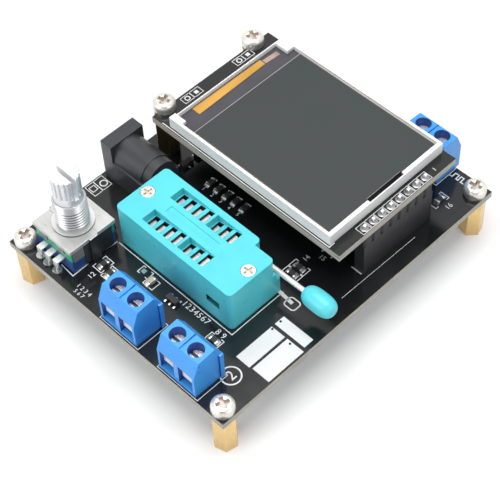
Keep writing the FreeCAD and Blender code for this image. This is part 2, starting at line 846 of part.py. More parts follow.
def power_jack():
    half = S.jack_width / 2
    end = JACK_X + S.jack_length
    throat = JACK_X + S.jack_bore_depth
    shoulder = end - S.jack_end_length
    ys = (JACK_Y - half, JACK_Y + half)
    flange_back = JACK_X + S.jack_flange
    flange = block("jack_flange_block", (JACK_X, flange_back), ys, (DECK, DECK + S.jack_height))
    base = block("jack_base", (JACK_X, end), ys, (DECK, DECK + S.jack_base_height))
    axis = (JACK_X, JACK_Y, JACK_Z)
    barrel = rod("jack_barrel", axis, S.jack_barrel_radius, shoulder - JACK_X, ALONG_X)
    tail = rod("jack_tail", axis, S.jack_end_radius, S.jack_length, ALONG_X)
    body = fuse("jack_body", flange, base, barrel, tail)
    bore = rod("jack_bore", axis, S.jack_bore_radius, S.jack_bore_depth, ALONG_X)
    pin_hole_radius = S.jack_pin_radius + S.jack_pin_gap
    pin_hole = rod("jack_pin_hole", axis, pin_hole_radius, S.jack_length, ALONG_X)
    bore_floor = JACK_Z - S.jack_bore_radius
    strip_low = bore_floor - S.lug_thickness
    half_strip = S.sleeve_width / 2
    start = JACK_X + S.sleeve_start
    strip_room = block(
        "sleeve_room",
        (start - S.lug_gap, throat),
        (JACK_Y - half_strip - S.lug_gap, JACK_Y + half_strip + S.lug_gap),
        (strip_low, JACK_Z),
    )
    lug_middle = JACK_X + S.sleeve_lug_place
    half_leaf = S.lug_thickness / 2
    half_lug = S.lug_width / 2
    lug_room = block(
        "lug_room",
        (lug_middle - half_leaf - S.lug_gap, lug_middle + half_leaf + S.lug_gap),
        (JACK_Y - half_lug - S.lug_gap, JACK_Y + half_lug + S.lug_gap),
        (DECK, strip_low),
    )
    part(cut("dc_jack_housing", body, bore, pin_hole, strip_room, lug_room), "dc_jack_housing")
    foot = DECK - S.lug_length
    lug_ys = (JACK_Y - half_lug, JACK_Y + half_lug)
    pin_start = JACK_X + S.jack_pin_inset
    pin_length = end - pin_start
    pin_rod = rod("jack_pin_rod", (pin_start, JACK_Y, JACK_Z), S.jack_pin_radius, pin_length, ALONG_X)
    pin_lug_top = JACK_Z + S.jack_pin_radius
    pin_lug = block("jack_pin_lug", (end, end + S.lug_thickness), lug_ys, (foot, pin_lug_top))
    part(fuse("dc_jack_pin", pin_rod, pin_lug), "dc_jack_pin")
    strip_ys = (JACK_Y - half_strip, JACK_Y + half_strip)
    strip = block("sleeve_strip", (start, throat - S.lug_gap), strip_ys, (strip_low, bore_floor))
    lug = block("sleeve_lug", (lug_middle - half_leaf, lug_middle + half_leaf), lug_ys, (foot, strip_low))
    part(fuse("dc_jack_sleeve_contact", strip, lug), "dc_jack_sleeve_contact")
    switch_middle = JACK_X + S.switch_lug_place
    switch_xs = (switch_middle - half_lug, switch_middle + half_lug)
    switch_ys = (ys[1], ys[1] + S.lug_thickness)
    switch = block("dc_jack_switch_contact", switch_xs, switch_ys, (foot, DECK + S.switch_lug_height))
    part(switch, "dc_jack_switch_contact")


# Rotary encoder: base with the push switch, wafer with the rotor, plate, bushing


def encoder():
    base_top = DECK + S.encoder_base_height
    wafer_top = base_top + S.encoder_wafer_height
    half_x = ENCODER_HALF_X - S.encoder_step
    half_y = ENCODER_HALF_Y - S.encoder_step
    xs = (ENCODER_X - half_x, ENCODER_X + half_x)
    ys = (ENCODER_Y - half_y, ENCODER_Y + half_y)
    centre = (ENCODER_X, ENCODER_Y)
    room = half_x - S.encoder_wall
    rotor_low = base_top + S.encoder_floor + S.rotor_gap
    collar_top = ENCODER_TOP - S.shaft_collar_gap
    collar_low = collar_top - S.shaft_collar_height
    rotor_top = collar_low - S.push_travel - S.rotor_gap
    half_drive = S.shaft_drive / 2
    tip_radius = half_drive
    tip_hole = half_drive * math.sqrt(2) + S.shaft_fit
    dome_top = DECK + S.encoder_floor + S.dome_height
    base_block = block("encoder_base_block", xs, ys, (DECK, base_top))
    switch_floor = DECK + S.encoder_floor
    switch_height = S.encoder_base_height - S.encoder_floor
    switch_room = rod("switch_room", (*centre, switch_floor), room, switch_height)
    part(cut("encoder_base", base_block, switch_room), "encoder_base")
    part(rod("encoder_dome", (*centre, switch_floor), tip_radius, S.dome_height), "encoder_dome")
    wafer_block = block("encoder_wafer_block", xs, ys, (base_top, wafer_top))
    wafer_floor = base_top + S.encoder_floor
    rotor_room = rod("rotor_room", (*centre, wafer_floor), room, S.encoder_wafer_height)
    tip_room = rod("tip_room", (*centre, base_top), tip_hole, S.encoder_wafer_height)
    part(cut("encoder_wafer", wafer_block, rotor_room, tip_room), "encoder_wafer")
    disc = rod("rotor_disc", (*centre, rotor_low), room - S.rotor_gap, rotor_top - rotor_low)
    reach = half_drive + S.shaft_fit
    keyway_xs = (ENCODER_X - reach, ENCODER_X + reach)
    keyway = block("rotor_keyway", keyway_xs, (ENCODER_Y - reach, ENCODER_Y + reach), (rotor_low, rotor_top))
    part(cut("encoder_rotor", disc, keyway), "encoder_rotor")
    plate_xs = (ENCODER_X - ENCODER_HALF_X, ENCODER_X + ENCODER_HALF_X)
    plate_ys = (ENCODER_Y - ENCODER_HALF_Y, ENCODER_Y + ENCODER_HALF_Y)
    plate = block("encoder_plate_block", plate_xs, plate_ys, (wafer_top, ENCODER_TOP))
    lugs = []
    half_lug = S.encoder_lug_width / 2
    for side in (-1, 1):
        inner = ENCODER_X + ENCODER_HALF_X * side
        outer = inner + S.encoder_lug_thickness * side
        lug_ys = (ENCODER_Y - half_lug, ENCODER_Y + half_lug)
        lugs.append(block("encoder_lug", (inner, outer), lug_ys, (DECK - S.encoder_lug_length, ENCODER_TOP)))
    collar_room = S.shaft_collar_radius + S.shaft_collar_gap
    plate_hole = rod("plate_hole", (*centre, wafer_top), collar_room, S.encoder_plate)
    part(cut("encoder_plate", fuse("plate_and_lugs", plate, *lugs), plate_hole), "encoder_plate")
    encoder_bushing()
    encoder_shaft(collar_low, collar_top, dome_top)
    encoder_terminals(half_y)


def encoder_bushing():
    """Threaded neck, turned with one groove per turn of the thread."""
    body = new_body("encoder_bushing")
    bore = S.shaft_radius + S.shaft_fit
    root = S.bushing_radius - S.thread_depth
    profile = [(bore, NONE), (S.bushing_ring_radius, NONE), (S.bushing_ring_radius, S.bushing_ring_height)]
    profile.append((root, S.bushing_ring_height))
    turns = int((S.bushing_height.value - S.bushing_ring_height.value) / S.thread_pitch.value)
    for turn in range(turns):
        low = S.bushing_height - S.thread_pitch * (turns - turn)
        profile += [(root, low), (S.bushing_radius, low + S.thread_pitch / 2)]
    profile += [(root, S.bushing_height), (bore, S.bushing_height)]
    sketch = sketch_on(body, "bushing_profile", "XZ_Plane")
    outline(sketch, profile)
    turned(body, sketch)
    seat(body, (ENCODER_X, ENCODER_Y, ENCODER_TOP))
    return part(body, "encoder_bushing")


def encoder_shaft(collar_low, collar_top, dome_top):
    """Splined and split shaft with its collar and square drive, in place."""
    body = new_body("encoder_shaft")
    top = ENCODER_TOP + S.shaft_height
    profile = [
        (NONE, collar_low), (S.shaft_collar_radius, collar_low), (S.shaft_collar_radius, collar_top),
        (S.shaft_radius, collar_top), (S.shaft_radius, top), (NONE, top),
    ]
    sketch = sketch_on(body, "shaft_profile", "XZ_Plane")
    outline(sketch, profile)
    turned(body, sketch)
    drive = sketch_on(body, "shaft_drive_plan", "XY_Plane", collar_low)
    half = S.shaft_drive / 2
    rectangle(drive, (-half, half), (-half, half))
    tip = dome_top + S.push_travel + S.shaft_tip_gap
    feature(body, "Pad", drive, backwards=True, Length=collar_low - tip)
    groove = sketch_on(body, "spline_plan", "XY_Plane", top)
    half_groove = S.spline_width / 2
    outer = S.shaft_radius + S.spline_depth
    inner = S.shaft_radius - S.spline_depth
    outline(groove, [(inner, NONE), (outer, -half_groove * 2), (outer, half_groove * 2)])
    first = feature(body, "Pocket", groove, Length=S.spline_length)
    pattern = body.newObject("PartDesign::PolarPattern", "splines")
    pattern.Originals = [first]
    pattern.Axis = (groove, ["N_Axis"])
    pattern.Angle = 360
    bind(pattern, Occurrences=S.spline_count)
    body.Tip = pattern
    slit = sketch_on(body, "slit_plan", "XY_Plane", top)
    half_slit = S.shaft_slit / 2
    rectangle(slit, (-outer, outer), (-half_slit, half_slit))
    feature(body, "Pocket", slit, Length=S.slit_depth)
    seat(body, (ENCODER_X, ENCODER_Y, NONE))
    return part(body, "encoder_shaft")


def encoder_terminals(half_y):
    legs = []
    half_pin = S.encoder_pin_width / 2
    half_leaf = S.encoder_pin_thickness / 2
    shelf = DECK + S.encoder_pin_height
    for x, side in ENCODER_PINS:
        xs = (ENCODER_X + x - half_pin, ENCODER_X + x + half_pin)
        root = ENCODER_Y + half_y * side
        out = ENCODER_Y + ENCODER_PIN_OUT * side
        tip = out + half_leaf * side
        arm = block("encoder_arm", xs, (root, tip), (shelf - S.encoder_pin_thickness, shelf))
        apron_ys = (out - half_leaf * side, tip)
        apron = block("encoder_apron", xs, apron_ys, (shelf - S.encoder_pin_apron, shelf))
        leg_xs = (ENCODER_X + x - half_leaf, ENCODER_X + x + half_leaf)
        leg = block("encoder_leg", leg_xs, apron_ys, (DECK - S.encoder_lug_length, shelf))
        legs.append(fuse("encoder_terminal", arm, apron, leg))
    group("encoder_terminals", legs)


# Lever test socket


def zif_base():
    body = new_body("zif_base")
    plan = sketch_on(body, "zif_base_plan", "XY_Plane", DECK)
    rectangle(plan, (ZIF_LEFT, ZIF_RIGHT), (ZIF_FRONT, ZIF_BACK))
    solid = feature(body, "Pad", plan, Length=S.zif_split)
    rounded(body, solid, S.zif_corner, is_upright)
    room = sketch_on(body, "zif_room_plan", "XY_Plane", ZIF_SPLIT)
    xs, ys = zif_room()
    tongue_front = CAM_FRONT - S.slider_gap
    tongue_back = CAM_BACK + S.slider_gap
    room_end = fork_span()[1] + SLIDER_TRAVEL + S.slider_gap
    outline(room, [
        (xs[0], ys[0]), (xs[1], ys[0]), (xs[1], tongue_front), (room_end, tongue_front),
        (room_end, tongue_back), (xs[1], tongue_back), (xs[1], ys[1]), (xs[0], ys[1]),
    ])
    feature(body, "Pocket", room, Length=S.zif_split - S.zif_floor)
    passages = sketch_on(body, "zif_passages", "XY_Plane", DECK + S.zif_floor)
    half_leaf = S.contact_thickness / 2 + S.contact_gap
    half_width = S.contact_width / 2 + S.contact_gap
    for y in ZIF_ROWS:
        for x in ZIF_CONTACTS:
            rectangle(passages, (x - half_leaf, x + half_leaf), (y - half_width, y + half_width))
    feature(body, "Pocket", passages, Length=S.zif_floor)
    threads = sketch_on(body, "zif_threads", "XY_Plane", ZIF_SPLIT)
    for x in ZIF_SCREWS:
        circle(threads, x, ZIF_MIDDLE, S.zif_screw_radius + S.pivot_gap)
    feature(body, "Pocket", threads, Length=S.zif_split - S.zif_floor)
    window = sketch_on(body, "zif_window", "XZ_Plane", -ZIF_FRONT)
    low = DECK + S.window_lift
    half_window = S.window_width / 2
    middle = PIVOT_X - S.window_shift
    rectangle(window, (middle - half_window, middle + half_window), (low, low + S.window_height))
    feature(body, "Pocket", window, Length=S.window_depth)
    axle_groove(body, "base_groove")
    well = sketch_on(body, "lever_well_plan", "XY_Plane", ZIF_SPLIT)
    rectangle(well, (NOTCH_X, ZIF_RIGHT), (NOTCH_Y, ZIF_BACK))
    feature(body, "Pocket", well, Length=S.lever_well)
    return part(body, "zif_base")


def axle_groove(body, name):
    """Bore for the lever's axle, half of it in the base and half in the cover."""
    bore = sketch_on(body, name, "XZ_Plane", -NOTCH_Y)
    circle(bore, PIVOT_X, PIVOT_Z, S.lever_radius + S.pivot_gap)
    feature(body, "Pocket", bore, backwards=True, Length=NOTCH_Y - ZIF_FRONT - S.zif_wall)


def zif_room():
    """Inside of the base: the slider's plate and its travel."""
    reach = S.zif_pitch / 2 + S.slider_gap
    xs = (ZIF_SLOTS[0] - reach - SLIDER_TRAVEL, ZIF_SLOTS[-1] + reach + SLIDER_TRAVEL)
    return xs, (ZIF_FRONT + S.zif_wall, ZIF_BACK - S.zif_wall)


def fork_span():
    """Outer faces of the slider's fork with the lever shut."""
    middle = PIVOT_X - CAM_SLANT
    reach = S.cam_radius + S.fork_gap + S.fork_wall
    return middle - reach, middle + reach


def zif_cover():
    body = new_body("zif_cover")
    plan = sketch_on(body, "zif_cover_plan", "XY_Plane", ZIF_SPLIT)
    outline(plan, [
        (ZIF_LEFT, ZIF_FRONT), (ZIF_RIGHT, ZIF_FRONT), (ZIF_RIGHT, NOTCH_Y),
        (NOTCH_X, NOTCH_Y), (NOTCH_X, ZIF_BACK), (ZIF_LEFT, ZIF_BACK),
    ])
    thickness = S.zif_height - S.zif_split
    solid = feature(body, "Pad", plan, Length=thickness)

    def outer_corner(edge):
        inside = abs(edge.BoundBox.XMin - NOTCH_X.value) + abs(edge.BoundBox.YMin - NOTCH_Y.value) < 1e-4
        return is_upright(edge) and not inside

    rounded(body, solid, S.zif_corner, outer_corner)
    split = count(S.zif_first_group)
    half_length = S.slot_length / 2 + S.recess_side
    half_pitch = S.zif_pitch / 2
    half_slot = S.slot_width / 2
    deep = ZIF_TOP - S.recess_deep
    shallow = ZIF_TOP - S.recess_shallow
    for row, y in enumerate(ZIF_ROWS):
        ramps = sketch_on(body, f"zif_ramps_{row}", "XZ_Plane", half_length - y)
        for slots in (ZIF_SLOTS[:split], ZIF_SLOTS[split:]):
            start = slots[0] - half_pitch + S.recess_side
            stop = slots[-1] + half_slot + S.recess_side
            outline(ramps, [(start, ZIF_TOP), (start, deep), (stop, shallow), (stop, ZIF_TOP)])
        feature(body, "Pocket", ramps, Length=half_length * 2)
    slots = sketch_on(body, "zif_slots", "XY_Plane", ZIF_TOP)
    for y in ZIF_ROWS:
        for x in ZIF_SLOTS:
            half_long = S.slot_length / 2
            rectangle(slots, (x - half_slot, x + half_slot), (y - half_long, y + half_long))
    feature(body, "Pocket", slots, Length=thickness)
    panel = sketch_on(body, "zif_mid_panel", "XY_Plane", ZIF_TOP)
    half_panel = S.mid_panel_width / 2
    panel_xs = (ZIF_SLOTS[0] + half_slot, ZIF_SLOTS[-1] - half_slot)
    rectangle(panel, panel_xs, (ZIF_MIDDLE - half_panel, ZIF_MIDDLE + half_panel))
    feature(body, "Pocket", panel, Length=S.mid_panel_depth)
    holes = sketch_on(body, "zif_screw_holes", "XY_Plane", ZIF_TOP)
    seats = sketch_on(body, "zif_screw_seats", "XY_Plane", ZIF_TOP)
    for x in ZIF_SCREWS:
        circle(holes, x, ZIF_MIDDLE, S.zif_screw_radius + S.zif_head_gap)
        circle(seats, x, ZIF_MIDDLE, S.zif_head_radius + S.zif_head_gap)
    feature(body, "Pocket", holes, Length=thickness)
    feature(body, "Pocket", seats, Length=S.zif_head_height)
    axle_groove(body, "cover_groove")
    cam_room = sketch_on(body, "cam_room", "XY_Plane", ZIF_SPLIT)
    low, high = fork_span()
    room_xs = (low - S.slider_gap, high + SLIDER_TRAVEL + S.slider_gap)
    rectangle(cam_room, room_xs, (CAM_FRONT - S.slider_gap, CAM_BACK + S.slider_gap))
    room_top = PIVOT_Z + S.lever_radius + S.pivot_gap
    feature(body, "Pocket", cam_room, backwards=True, Length=room_top - ZIF_SPLIT)
    return part(body, "zif_cover")


def zif_slider():
    (room_left, room_right), (room_front, room_back) = zif_room()
    low = DECK + S.slider_lift
    top = low + S.slider_thickness
    xs = (room_left + S.slider_gap, room_right - SLIDER_TRAVEL - S.slider_gap)
    ys = (room_front + S.slider_gap, room_back - S.slider_gap)
    plate = block("slider_plate", xs, ys, (low, top))
    fork_low, fork_high = fork_span()
    tongue = block("slider_tongue", (xs[1] - S.fork_wall, fork_high), (CAM_FRONT, CAM_BACK), (low, top))
    fork_top = PIVOT_Z - S.lever_radius - S.pivot_gap * 2
    prongs = []
    for start in (fork_low, fork_high - S.fork_wall):
        prong_xs = (start, start + S.fork_wall)
        prongs.append(block("fork_prong", prong_xs, (CAM_FRONT, CAM_BACK), (low, fork_top)))
    windows = []
    half_width = S.contact_width / 2 + S.contact_gap
    half_leaf = S.contact_thickness / 2 + S.contact_gap
    for y in ZIF_ROWS:
        for x in ZIF_CONTACTS:
            window_xs = (x - half_leaf - SLIDER_TRAVEL, x + half_leaf)
            windows.append(block("slider_window", window_xs, (y - half_width, y + half_width), (low, top)))
    part(cut("zif_slider", fuse("slider_body", plate, tongue, *prongs), *windows), "zif_slider")


def zif_contacts():
    half_leaf = S.contact_thickness / 2
    half_width = S.contact_width / 2
    half_tail = S.contact_tail_width / 2
    top = ZIF_TOP - S.recess_deep - S.contact_top_gap
    blade = block("contact_blade", (-half_leaf, half_leaf), (-half_width, half_width), (DECK, top))
    tail_span = (-half_tail, half_tail)
    tail = block("contact_tail", tail_span, tail_span, (DECK - S.contact_tail, DECK))
    contact = fuse("zif_contact", blade, tail)
    places = [((x, y, NONE), UPRIGHT) for y in ZIF_ROWS for x in ZIF_CONTACTS]
    group("zif_contacts", copies("zif_contact_copy", contact, places))


def zif_screws():
    screws = []
    seat_z = ZIF_TOP - S.zif_head_height
    for x in ZIF_SCREWS:
        head = rod("zif_head", (x, ZIF_MIDDLE, seat_z), S.zif_head_radius, S.zif_head_height)
        shank_low = seat_z - S.zif_screw_length
        shank = rod("zif_shank", (x, ZIF_MIDDLE, shank_low), S.zif_screw_radius, S.zif_screw_length)
        reach = S.zif_head_radius * 0.7
        near = S.zif_cross_width / 2
        zs = (ZIF_TOP - S.zif_cross_depth, ZIF_TOP)
        wide = block("zif_cross_wide", (x - reach, x + reach), (ZIF_MIDDLE - near, ZIF_MIDDLE + near), zs)
        deep = block("zif_cross_deep", (x - near, x + near), (ZIF_MIDDLE - reach, ZIF_MIDDLE + reach), zs)
        screws.append(cut("zif_screw", fuse("zif_screw_body", head, shank), wide, deep))
    group("zif_screws", screws)


def zif_lever():
    """Bent rod with its cam, shut, and the moulded knob on its end."""
    rise = Rotation(Vector(0, 1, 0), 90 - S.lever_rise.value)
    start = ZIF_FRONT + S.zif_wall + S.pivot_gap
    axle = rod("lever_axle", (PIVOT_X, start, PIVOT_Z), S.lever_radius, LEVER_Y - start, ALONG_Y)
    corner = (PIVOT_X, LEVER_Y, PIVOT_Z)
    elbow = doc.addObject("Part::Sphere", "lever_elbow")
    bind(elbow, Radius=S.lever_radius)
    seat(elbow, corner)
    arm = rod("lever_arm", corner, S.lever_radius, S.knob_start + S.knob_socket - S.knob_fit, rise)
    cam_start = (PIVOT_X - CAM_SLANT, CAM_FRONT + S.pivot_gap, PIVOT_Z - CAM_SLANT)
    cam = rod("lever_cam", cam_start, S.cam_radius, S.cam_width - S.pivot_gap * 2, ALONG_Y)
    part(fuse("zif_lever", axle, elbow, arm, cam), "zif_lever")
    body = new_body("zif_lever_knob")
    face = sketch_on(body, "knob_plan", "XY_Plane", S.knob_start)
    circle(face, NONE, NONE, S.knob_radius)
    solid = feature(body, "Pad", face, Length=S.knob_length)
    ends = (lies_at(S.knob_start), lies_at(S.knob_start + S.knob_length))
    rounded(body, solid, S.knob_round, lambda edge: ends[0](edge) or ends[1](edge))
    socket = sketch_on(body, "knob_socket_plan", "XY_Plane", S.knob_start)
    circle(socket, NONE, NONE, S.lever_radius + S.knob_fit)
    feature(body, "Pocket", socket, backwards=True, Length=S.knob_socket)
    seat(body, corner, rise)
    part(body, "zif_lever_knob")


# Screw terminals: housing, clamp screws, rising clamps and solder strips


def terminal_housing(label, x, y, facing):
    """Housing drawn with its mouth at depth zero, then turned to face its edge."""
    body = new_body(label + "_housing")
    half = TERMINAL_WIDTH / 2
    depth = S.terminal_depth
    height = S.terminal_height
    profile = sketch_on(body, label + "_profile", "YZ_Plane", -half)
    outline(profile, [
        (NONE, NONE), (depth, NONE), (depth, S.terminal_back_height),
        (depth - S.terminal_back_slope, height), (S.terminal_brow, height - S.terminal_brow_drop),
        (NONE, S.terminal_face_height),
    ])
    feature(body, "Pad", profile, Length=TERMINAL_WIDTH)
    rib = sketch_on(body, label + "_rib", "XY_Plane")
    rectangle(rib, (half, half + S.terminal_rib), (depth - S.terminal_rib_depth, depth))
    feature(body, "Pad", rib, Length=S.terminal_back_height)
    slit = sketch_on(body, label + "_slit", "XY_Plane", height)
    half_slit = S.terminal_slit / 2
    rectangle(slit, (-half_slit, half_slit), (S.terminal_brow, depth - S.terminal_back_slope))
    feature(body, "Pocket", slit, Length=S.terminal_brow_drop * 2)
    roof = terminal_roof()
    rooms = sketch_on(body, label + "_rooms", "XY_Plane", S.terminal_floor)
    mouths = sketch_on(body, label + "_mouths", "XZ_Plane")
    necks = sketch_on(body, label + "_necks", "XY_Plane", roof)
    heads = sketch_on(body, label + "_heads", "XY_Plane", roof + S.clamp_neck)
    feet = sketch_on(body, label + "_feet", "XY_Plane", S.terminal_floor)
    half_room = S.cage_width / 2 + S.cage_gap
    half_mouth = S.terminal_mouth / 2
    half_foot = S.solder_pin / 2 + S.strip_gap
    for pole, side in POLES:
        u = S.terminal_pitch * side
        rectangle(rooms, (u - half_room, u + half_room), (S.terminal_front_wall, STRIP_END + S.strip_gap))
        mouth_top = S.terminal_floor + S.terminal_mouth_height
        rectangle(mouths, (u - half_mouth, u + half_mouth), (S.terminal_floor, mouth_top))
        circle(necks, u, S.pole_depth, S.clamp_shank + S.clamp_gap)
        circle(heads, u, S.pole_depth, S.clamp_hole)
        foot_ys = (STRIP_END - S.solder_pin - S.strip_gap, STRIP_END + S.strip_gap)
        rectangle(feet, (u - half_foot, u + half_foot), foot_ys)
    feature(body, "Pocket", rooms, backwards=True, Length=roof - S.terminal_floor)
    feature(body, "Pocket", mouths, Length=S.terminal_front_wall)
    feature(body, "Pocket", necks, backwards=True, Length=S.clamp_neck)
    feature(body, "Pocket", heads, backwards=True, Length=height - roof - S.clamp_neck)
    feature(body, "Pocket", feet, Length=S.terminal_floor)
    seat(body, (x, y, DECK), UPRIGHT if facing > 0 else Rotation(Vector(0, 0, 1), 180))
    part(body, label + "_housing")


def terminal_roof():
    """Height over the board where the clamp's room ends under the screw head."""
    return S.terminal_floor + S.cage_lift + S.cage_travel + CAGE_HEIGHT + S.cage_lift


def terminal_poles():
    strips = []
    for label, x, y, facing in TERMINALS:
        for pole, side in POLES:
            middle = x + S.terminal_pitch * side
            depth = y + S.pole_depth * facing
            cage_low = DECK + S.terminal_floor + S.cage_lift + S.cage_travel
            cage_top = cage_low + CAGE_HEIGHT
            half_cage = S.cage_width / 2
            half_deep = S.cage_depth / 2
            nose = depth - (half_deep + S.cage_nose) * facing
            ys = (nose, depth + half_deep * facing)
            outside = block("cage_block", (middle - half_cage, middle + half_cage), ys, (cage_low, cage_top))
            inner = half_cage - S.cage_wall
            eye_zs = (cage_low + S.cage_bar, cage_top - S.cage_roof)
            eye = block("cage_eye", (middle - inner, middle + inner), ys, eye_zs)
            hole_at = (middle, depth, cage_top - S.cage_roof)
            hole = rod("cage_hole", hole_at, S.clamp_shank + S.clamp_gap, S.cage_roof)
            cage = cut(f"{label}_clamp_{pole}", outside, eye, hole)
            part(cage, f"{label}_clamp_{pole}")
            strip_low = eye_zs[0] + S.strip_gap
            strip_top = strip_low + S.strip_thickness
            head_low = DECK + terminal_roof() + S.clamp_neck
            head_top = head_low + S.clamp_head_height
            head = rod("clamp_head_disc", (middle, depth, head_low), S.clamp_head, S.clamp_head_height)
            tip = strip_top + S.strip_gap
            shank = rod("clamp_shank_rod", (middle, depth, tip), S.clamp_shank, head_low - tip)
            half_slot = S.clamp_slot / 2
            slot_xs = (middle - S.clamp_head, middle + S.clamp_head)
            slot_ys = (depth - half_slot, depth + half_slot)
            slot = block("clamp_slot_cut", slot_xs, slot_ys, (head_top - S.clamp_slot_depth, head_top))
            screw = cut(f"{label}_screw_{pole}", fuse("clamp_screw_body", head, shank), slot)
            part(screw, f"{label}_screw_{pole}")
            half_strip = S.strip_half_width
            strip_ys = (nose, y + STRIP_END * facing)
            strip_xs = (middle - half_strip, middle + half_strip)
            tab = block("strip_tab", strip_xs, strip_ys, (strip_low, strip_top))
            half_pin = S.solder_pin / 2
            pin_ys = (y + (STRIP_END - S.solder_pin) * facing, y + STRIP_END * facing)
            pin_zs = (DECK - S.solder_pin_length, strip_top)
            pin = block("strip_pin", (middle - half_pin, middle + half_pin), pin_ys, pin_zs)
            strips.append(fuse("terminal_strip", tab, pin))
    group("terminal_strips", strips)


# Parts soldered on the main board


def chip_lead():
    """One bent lead that starts at a chip's side and runs along +X."""
    half = S.lead_width / 2
    ys = (-half, half)
    toe = block("lead_toe", (S.lead_reach - S.lead_foot, S.lead_reach), ys, (NONE, S.lead_thickness))
    shin_xs = (S.lead_reach - S.lead_foot, S.lead_reach - S.lead_foot + S.lead_thickness)
    shin = block("lead_shin", shin_xs, ys, (NONE, S.lead_rise))
    hip = block("lead_hip", (NONE, shin_xs[1]), ys, (S.lead_rise - S.lead_thickness, S.lead_rise))
    return fuse("chip_lead", toe, shin, hip)


def microcontroller():
    x = across(S.chip_left)
    y = along(S.chip_front)
    half = S.chip_width / 2
    low = DECK + S.chip_lift
    zs = (low, low + S.chip_height)
    part(block("microcontroller", (x - half, x + half), (y - half, y + half), zs), "microcontroller")
    lead = chip_lead()
    total = count(S.lead_count)
    sides = [(1, 0, 0), (0, 1, 90), (-1, 0, 180), (0, -1, 270)]
    places = []
    for right, away, angle in sides:
        turn = Rotation(Vector(0, 0, 1), angle)
        for n in range(total):
            shift = S.lead_pitch * (n - (total - 1) / 2)
            at = (x + half * right + shift * away, y + half * away + shift * right, DECK)
            places.append((at, turn))
    group("microcontroller_leads", copies("lead", lead, places))


def small_parts():
    ends = [(0, S.crystal_width / 2), (0, S.crystal_length - S.crystal_width / 2)]
    x, y = across(S.crystal_left), along(S.crystal_front)
    radius = S.crystal_width / 2
    lobes = [rod("crystal_lobe", (x, y + end, DECK), radius, S.crystal_height) for spare, end in ends]
    waist_ys = (y + ends[0][1], y + ends[1][1])
    waist = block("crystal_waist", (x - radius, x + radius), waist_ys, (DECK, DECK + S.crystal_height))
    part(fuse("crystal", *lobes, waist), "crystal")
    x, y = across(S.regulator_left), along(S.regulator_front)
    half = S.regulator_width / 2
    ys = (y, y + S.regulator_depth)
    tab_top = DECK + S.regulator_tab
    body_zs = (tab_top, DECK + S.regulator_height)
    moulding = block("regulator_moulding", (x - half, x + half), ys, body_zs)
    tab_ys = (y - S.small_lead_reach, y + S.regulator_depth + S.small_lead_reach)
    tab = block("regulator_leads", (x - half / 2, x + half / 2), tab_ys, (DECK, tab_top))
    part(fuse("regulator", moulding, tab), "regulator")
    three_legs = small_chip("three_leg_chip", [(-1, -1), (1, -1), (0, 1)])
    six_legs = small_chip("six_leg_chip", [(n, side) for n in (-1, 0, 1) for side in (-1, 1)])
    x, y = across(S.transistor_left), along(S.transistor_front)
    sideways = Rotation(Vector(0, 0, 1), -90)
    places = [((x, y + S.transistor_spacing * n, DECK), sideways) for n in range(3)]
    group("transistors", copies("transistor", three_legs, places))
    place = (across(S.reference_left), along(S.reference_front), DECK)
    group("voltage_reference", copies("reference", three_legs, [(place, UPRIGHT)]))
    place = (across(S.guard_chip_left), along(S.guard_chip_front), DECK)
    group("guard_chip", copies("guard", six_legs, [(place, UPRIGHT)]))
    probe_row = range(count(S.probe_row_count))
    spots = [(S.probe_row_left + S.probe_row_pitch * n, S.probe_row_front) for n in probe_row]
    second = (S.knob_resistor_left + S.knob_resistor_pitch, S.knob_resistor_front - S.knob_resistor_step)
    spots += [(S.knob_resistor_left, S.knob_resistor_front), second]
    spots.append((S.back_resistor_left, S.back_resistor_front))
    lying_spots = [(S.front_resistor_left, S.front_resistor_front)]
    lying_spots.append((S.pair_resistor_left, S.pair_resistor_front))
    lying_spots.append((S.pair_resistor_left, S.pair_resistor_front + S.pair_resistor_pitch))
    resistor = (S.resistor_width, S.resistor_length, S.resistor_height)
    lying = (S.resistor_length, S.resistor_width, S.resistor_height)
    resistors = [bead("chip_resistor", across(u), along(v), *resistor) for u, v in spots]
    resistors += [bead("lying_resistor", across(u), along(v), *lying) for u, v in lying_spots]
    group("chip_resistors", resistors)
    row = [
        (across(S.capacitor_left) + S.capacitor_pitch * n, along(S.capacitor_front))
        for n in range(count(S.capacitor_count))
    ]
    row.append((across(S.guard_capacitor_left), along(S.guard_capacitor_front)))
    capacitor = (S.capacitor_width, S.capacitor_length, S.capacitor_height)
    group("chip_capacitors", [bead("chip_capacitor", px, py, *capacitor) for px, py in row])


def bead(name, x, y, width, length, height):
    """A chip component of a width along X and a length along Y."""
    return block(name, (x - width / 2, x + width / 2), (y - length / 2, y + length / 2), (DECK, DECK + height))


def small_chip(name, legs):
    """A small moulded chip on flat legs, one solid with them, standing on height zero."""
    half_x = S.small_chip_width / 2
    half_y = S.small_chip_depth / 2
    low = S.lead_thickness
    pieces = [block(name + "_mould", (-half_x, half_x), (-half_y, half_y), (low, low + S.small_chip_height))]
    half_leg = S.small_lead_width / 2
    for n, side in legs:
        middle = (half_x - half_leg) * n
        ys = (NONE, (half_y + S.small_lead_reach) * side)
        pieces.append(block(name + "_leg", (middle - half_leg, middle + half_leg), ys, (NONE, low)))
    return fuse(name, *pieces)


main_board()
fasteners()
display_board()
display_header()
display_module()
power_jack()
encoder()
zif_base()
zif_cover()
zif_slider()
zif_contacts()
zif_screws()
zif_lever()
for terminal in TERMINALS:
    terminal_housing(*terminal)
terminal_poles()
microcontroller()
small_parts()

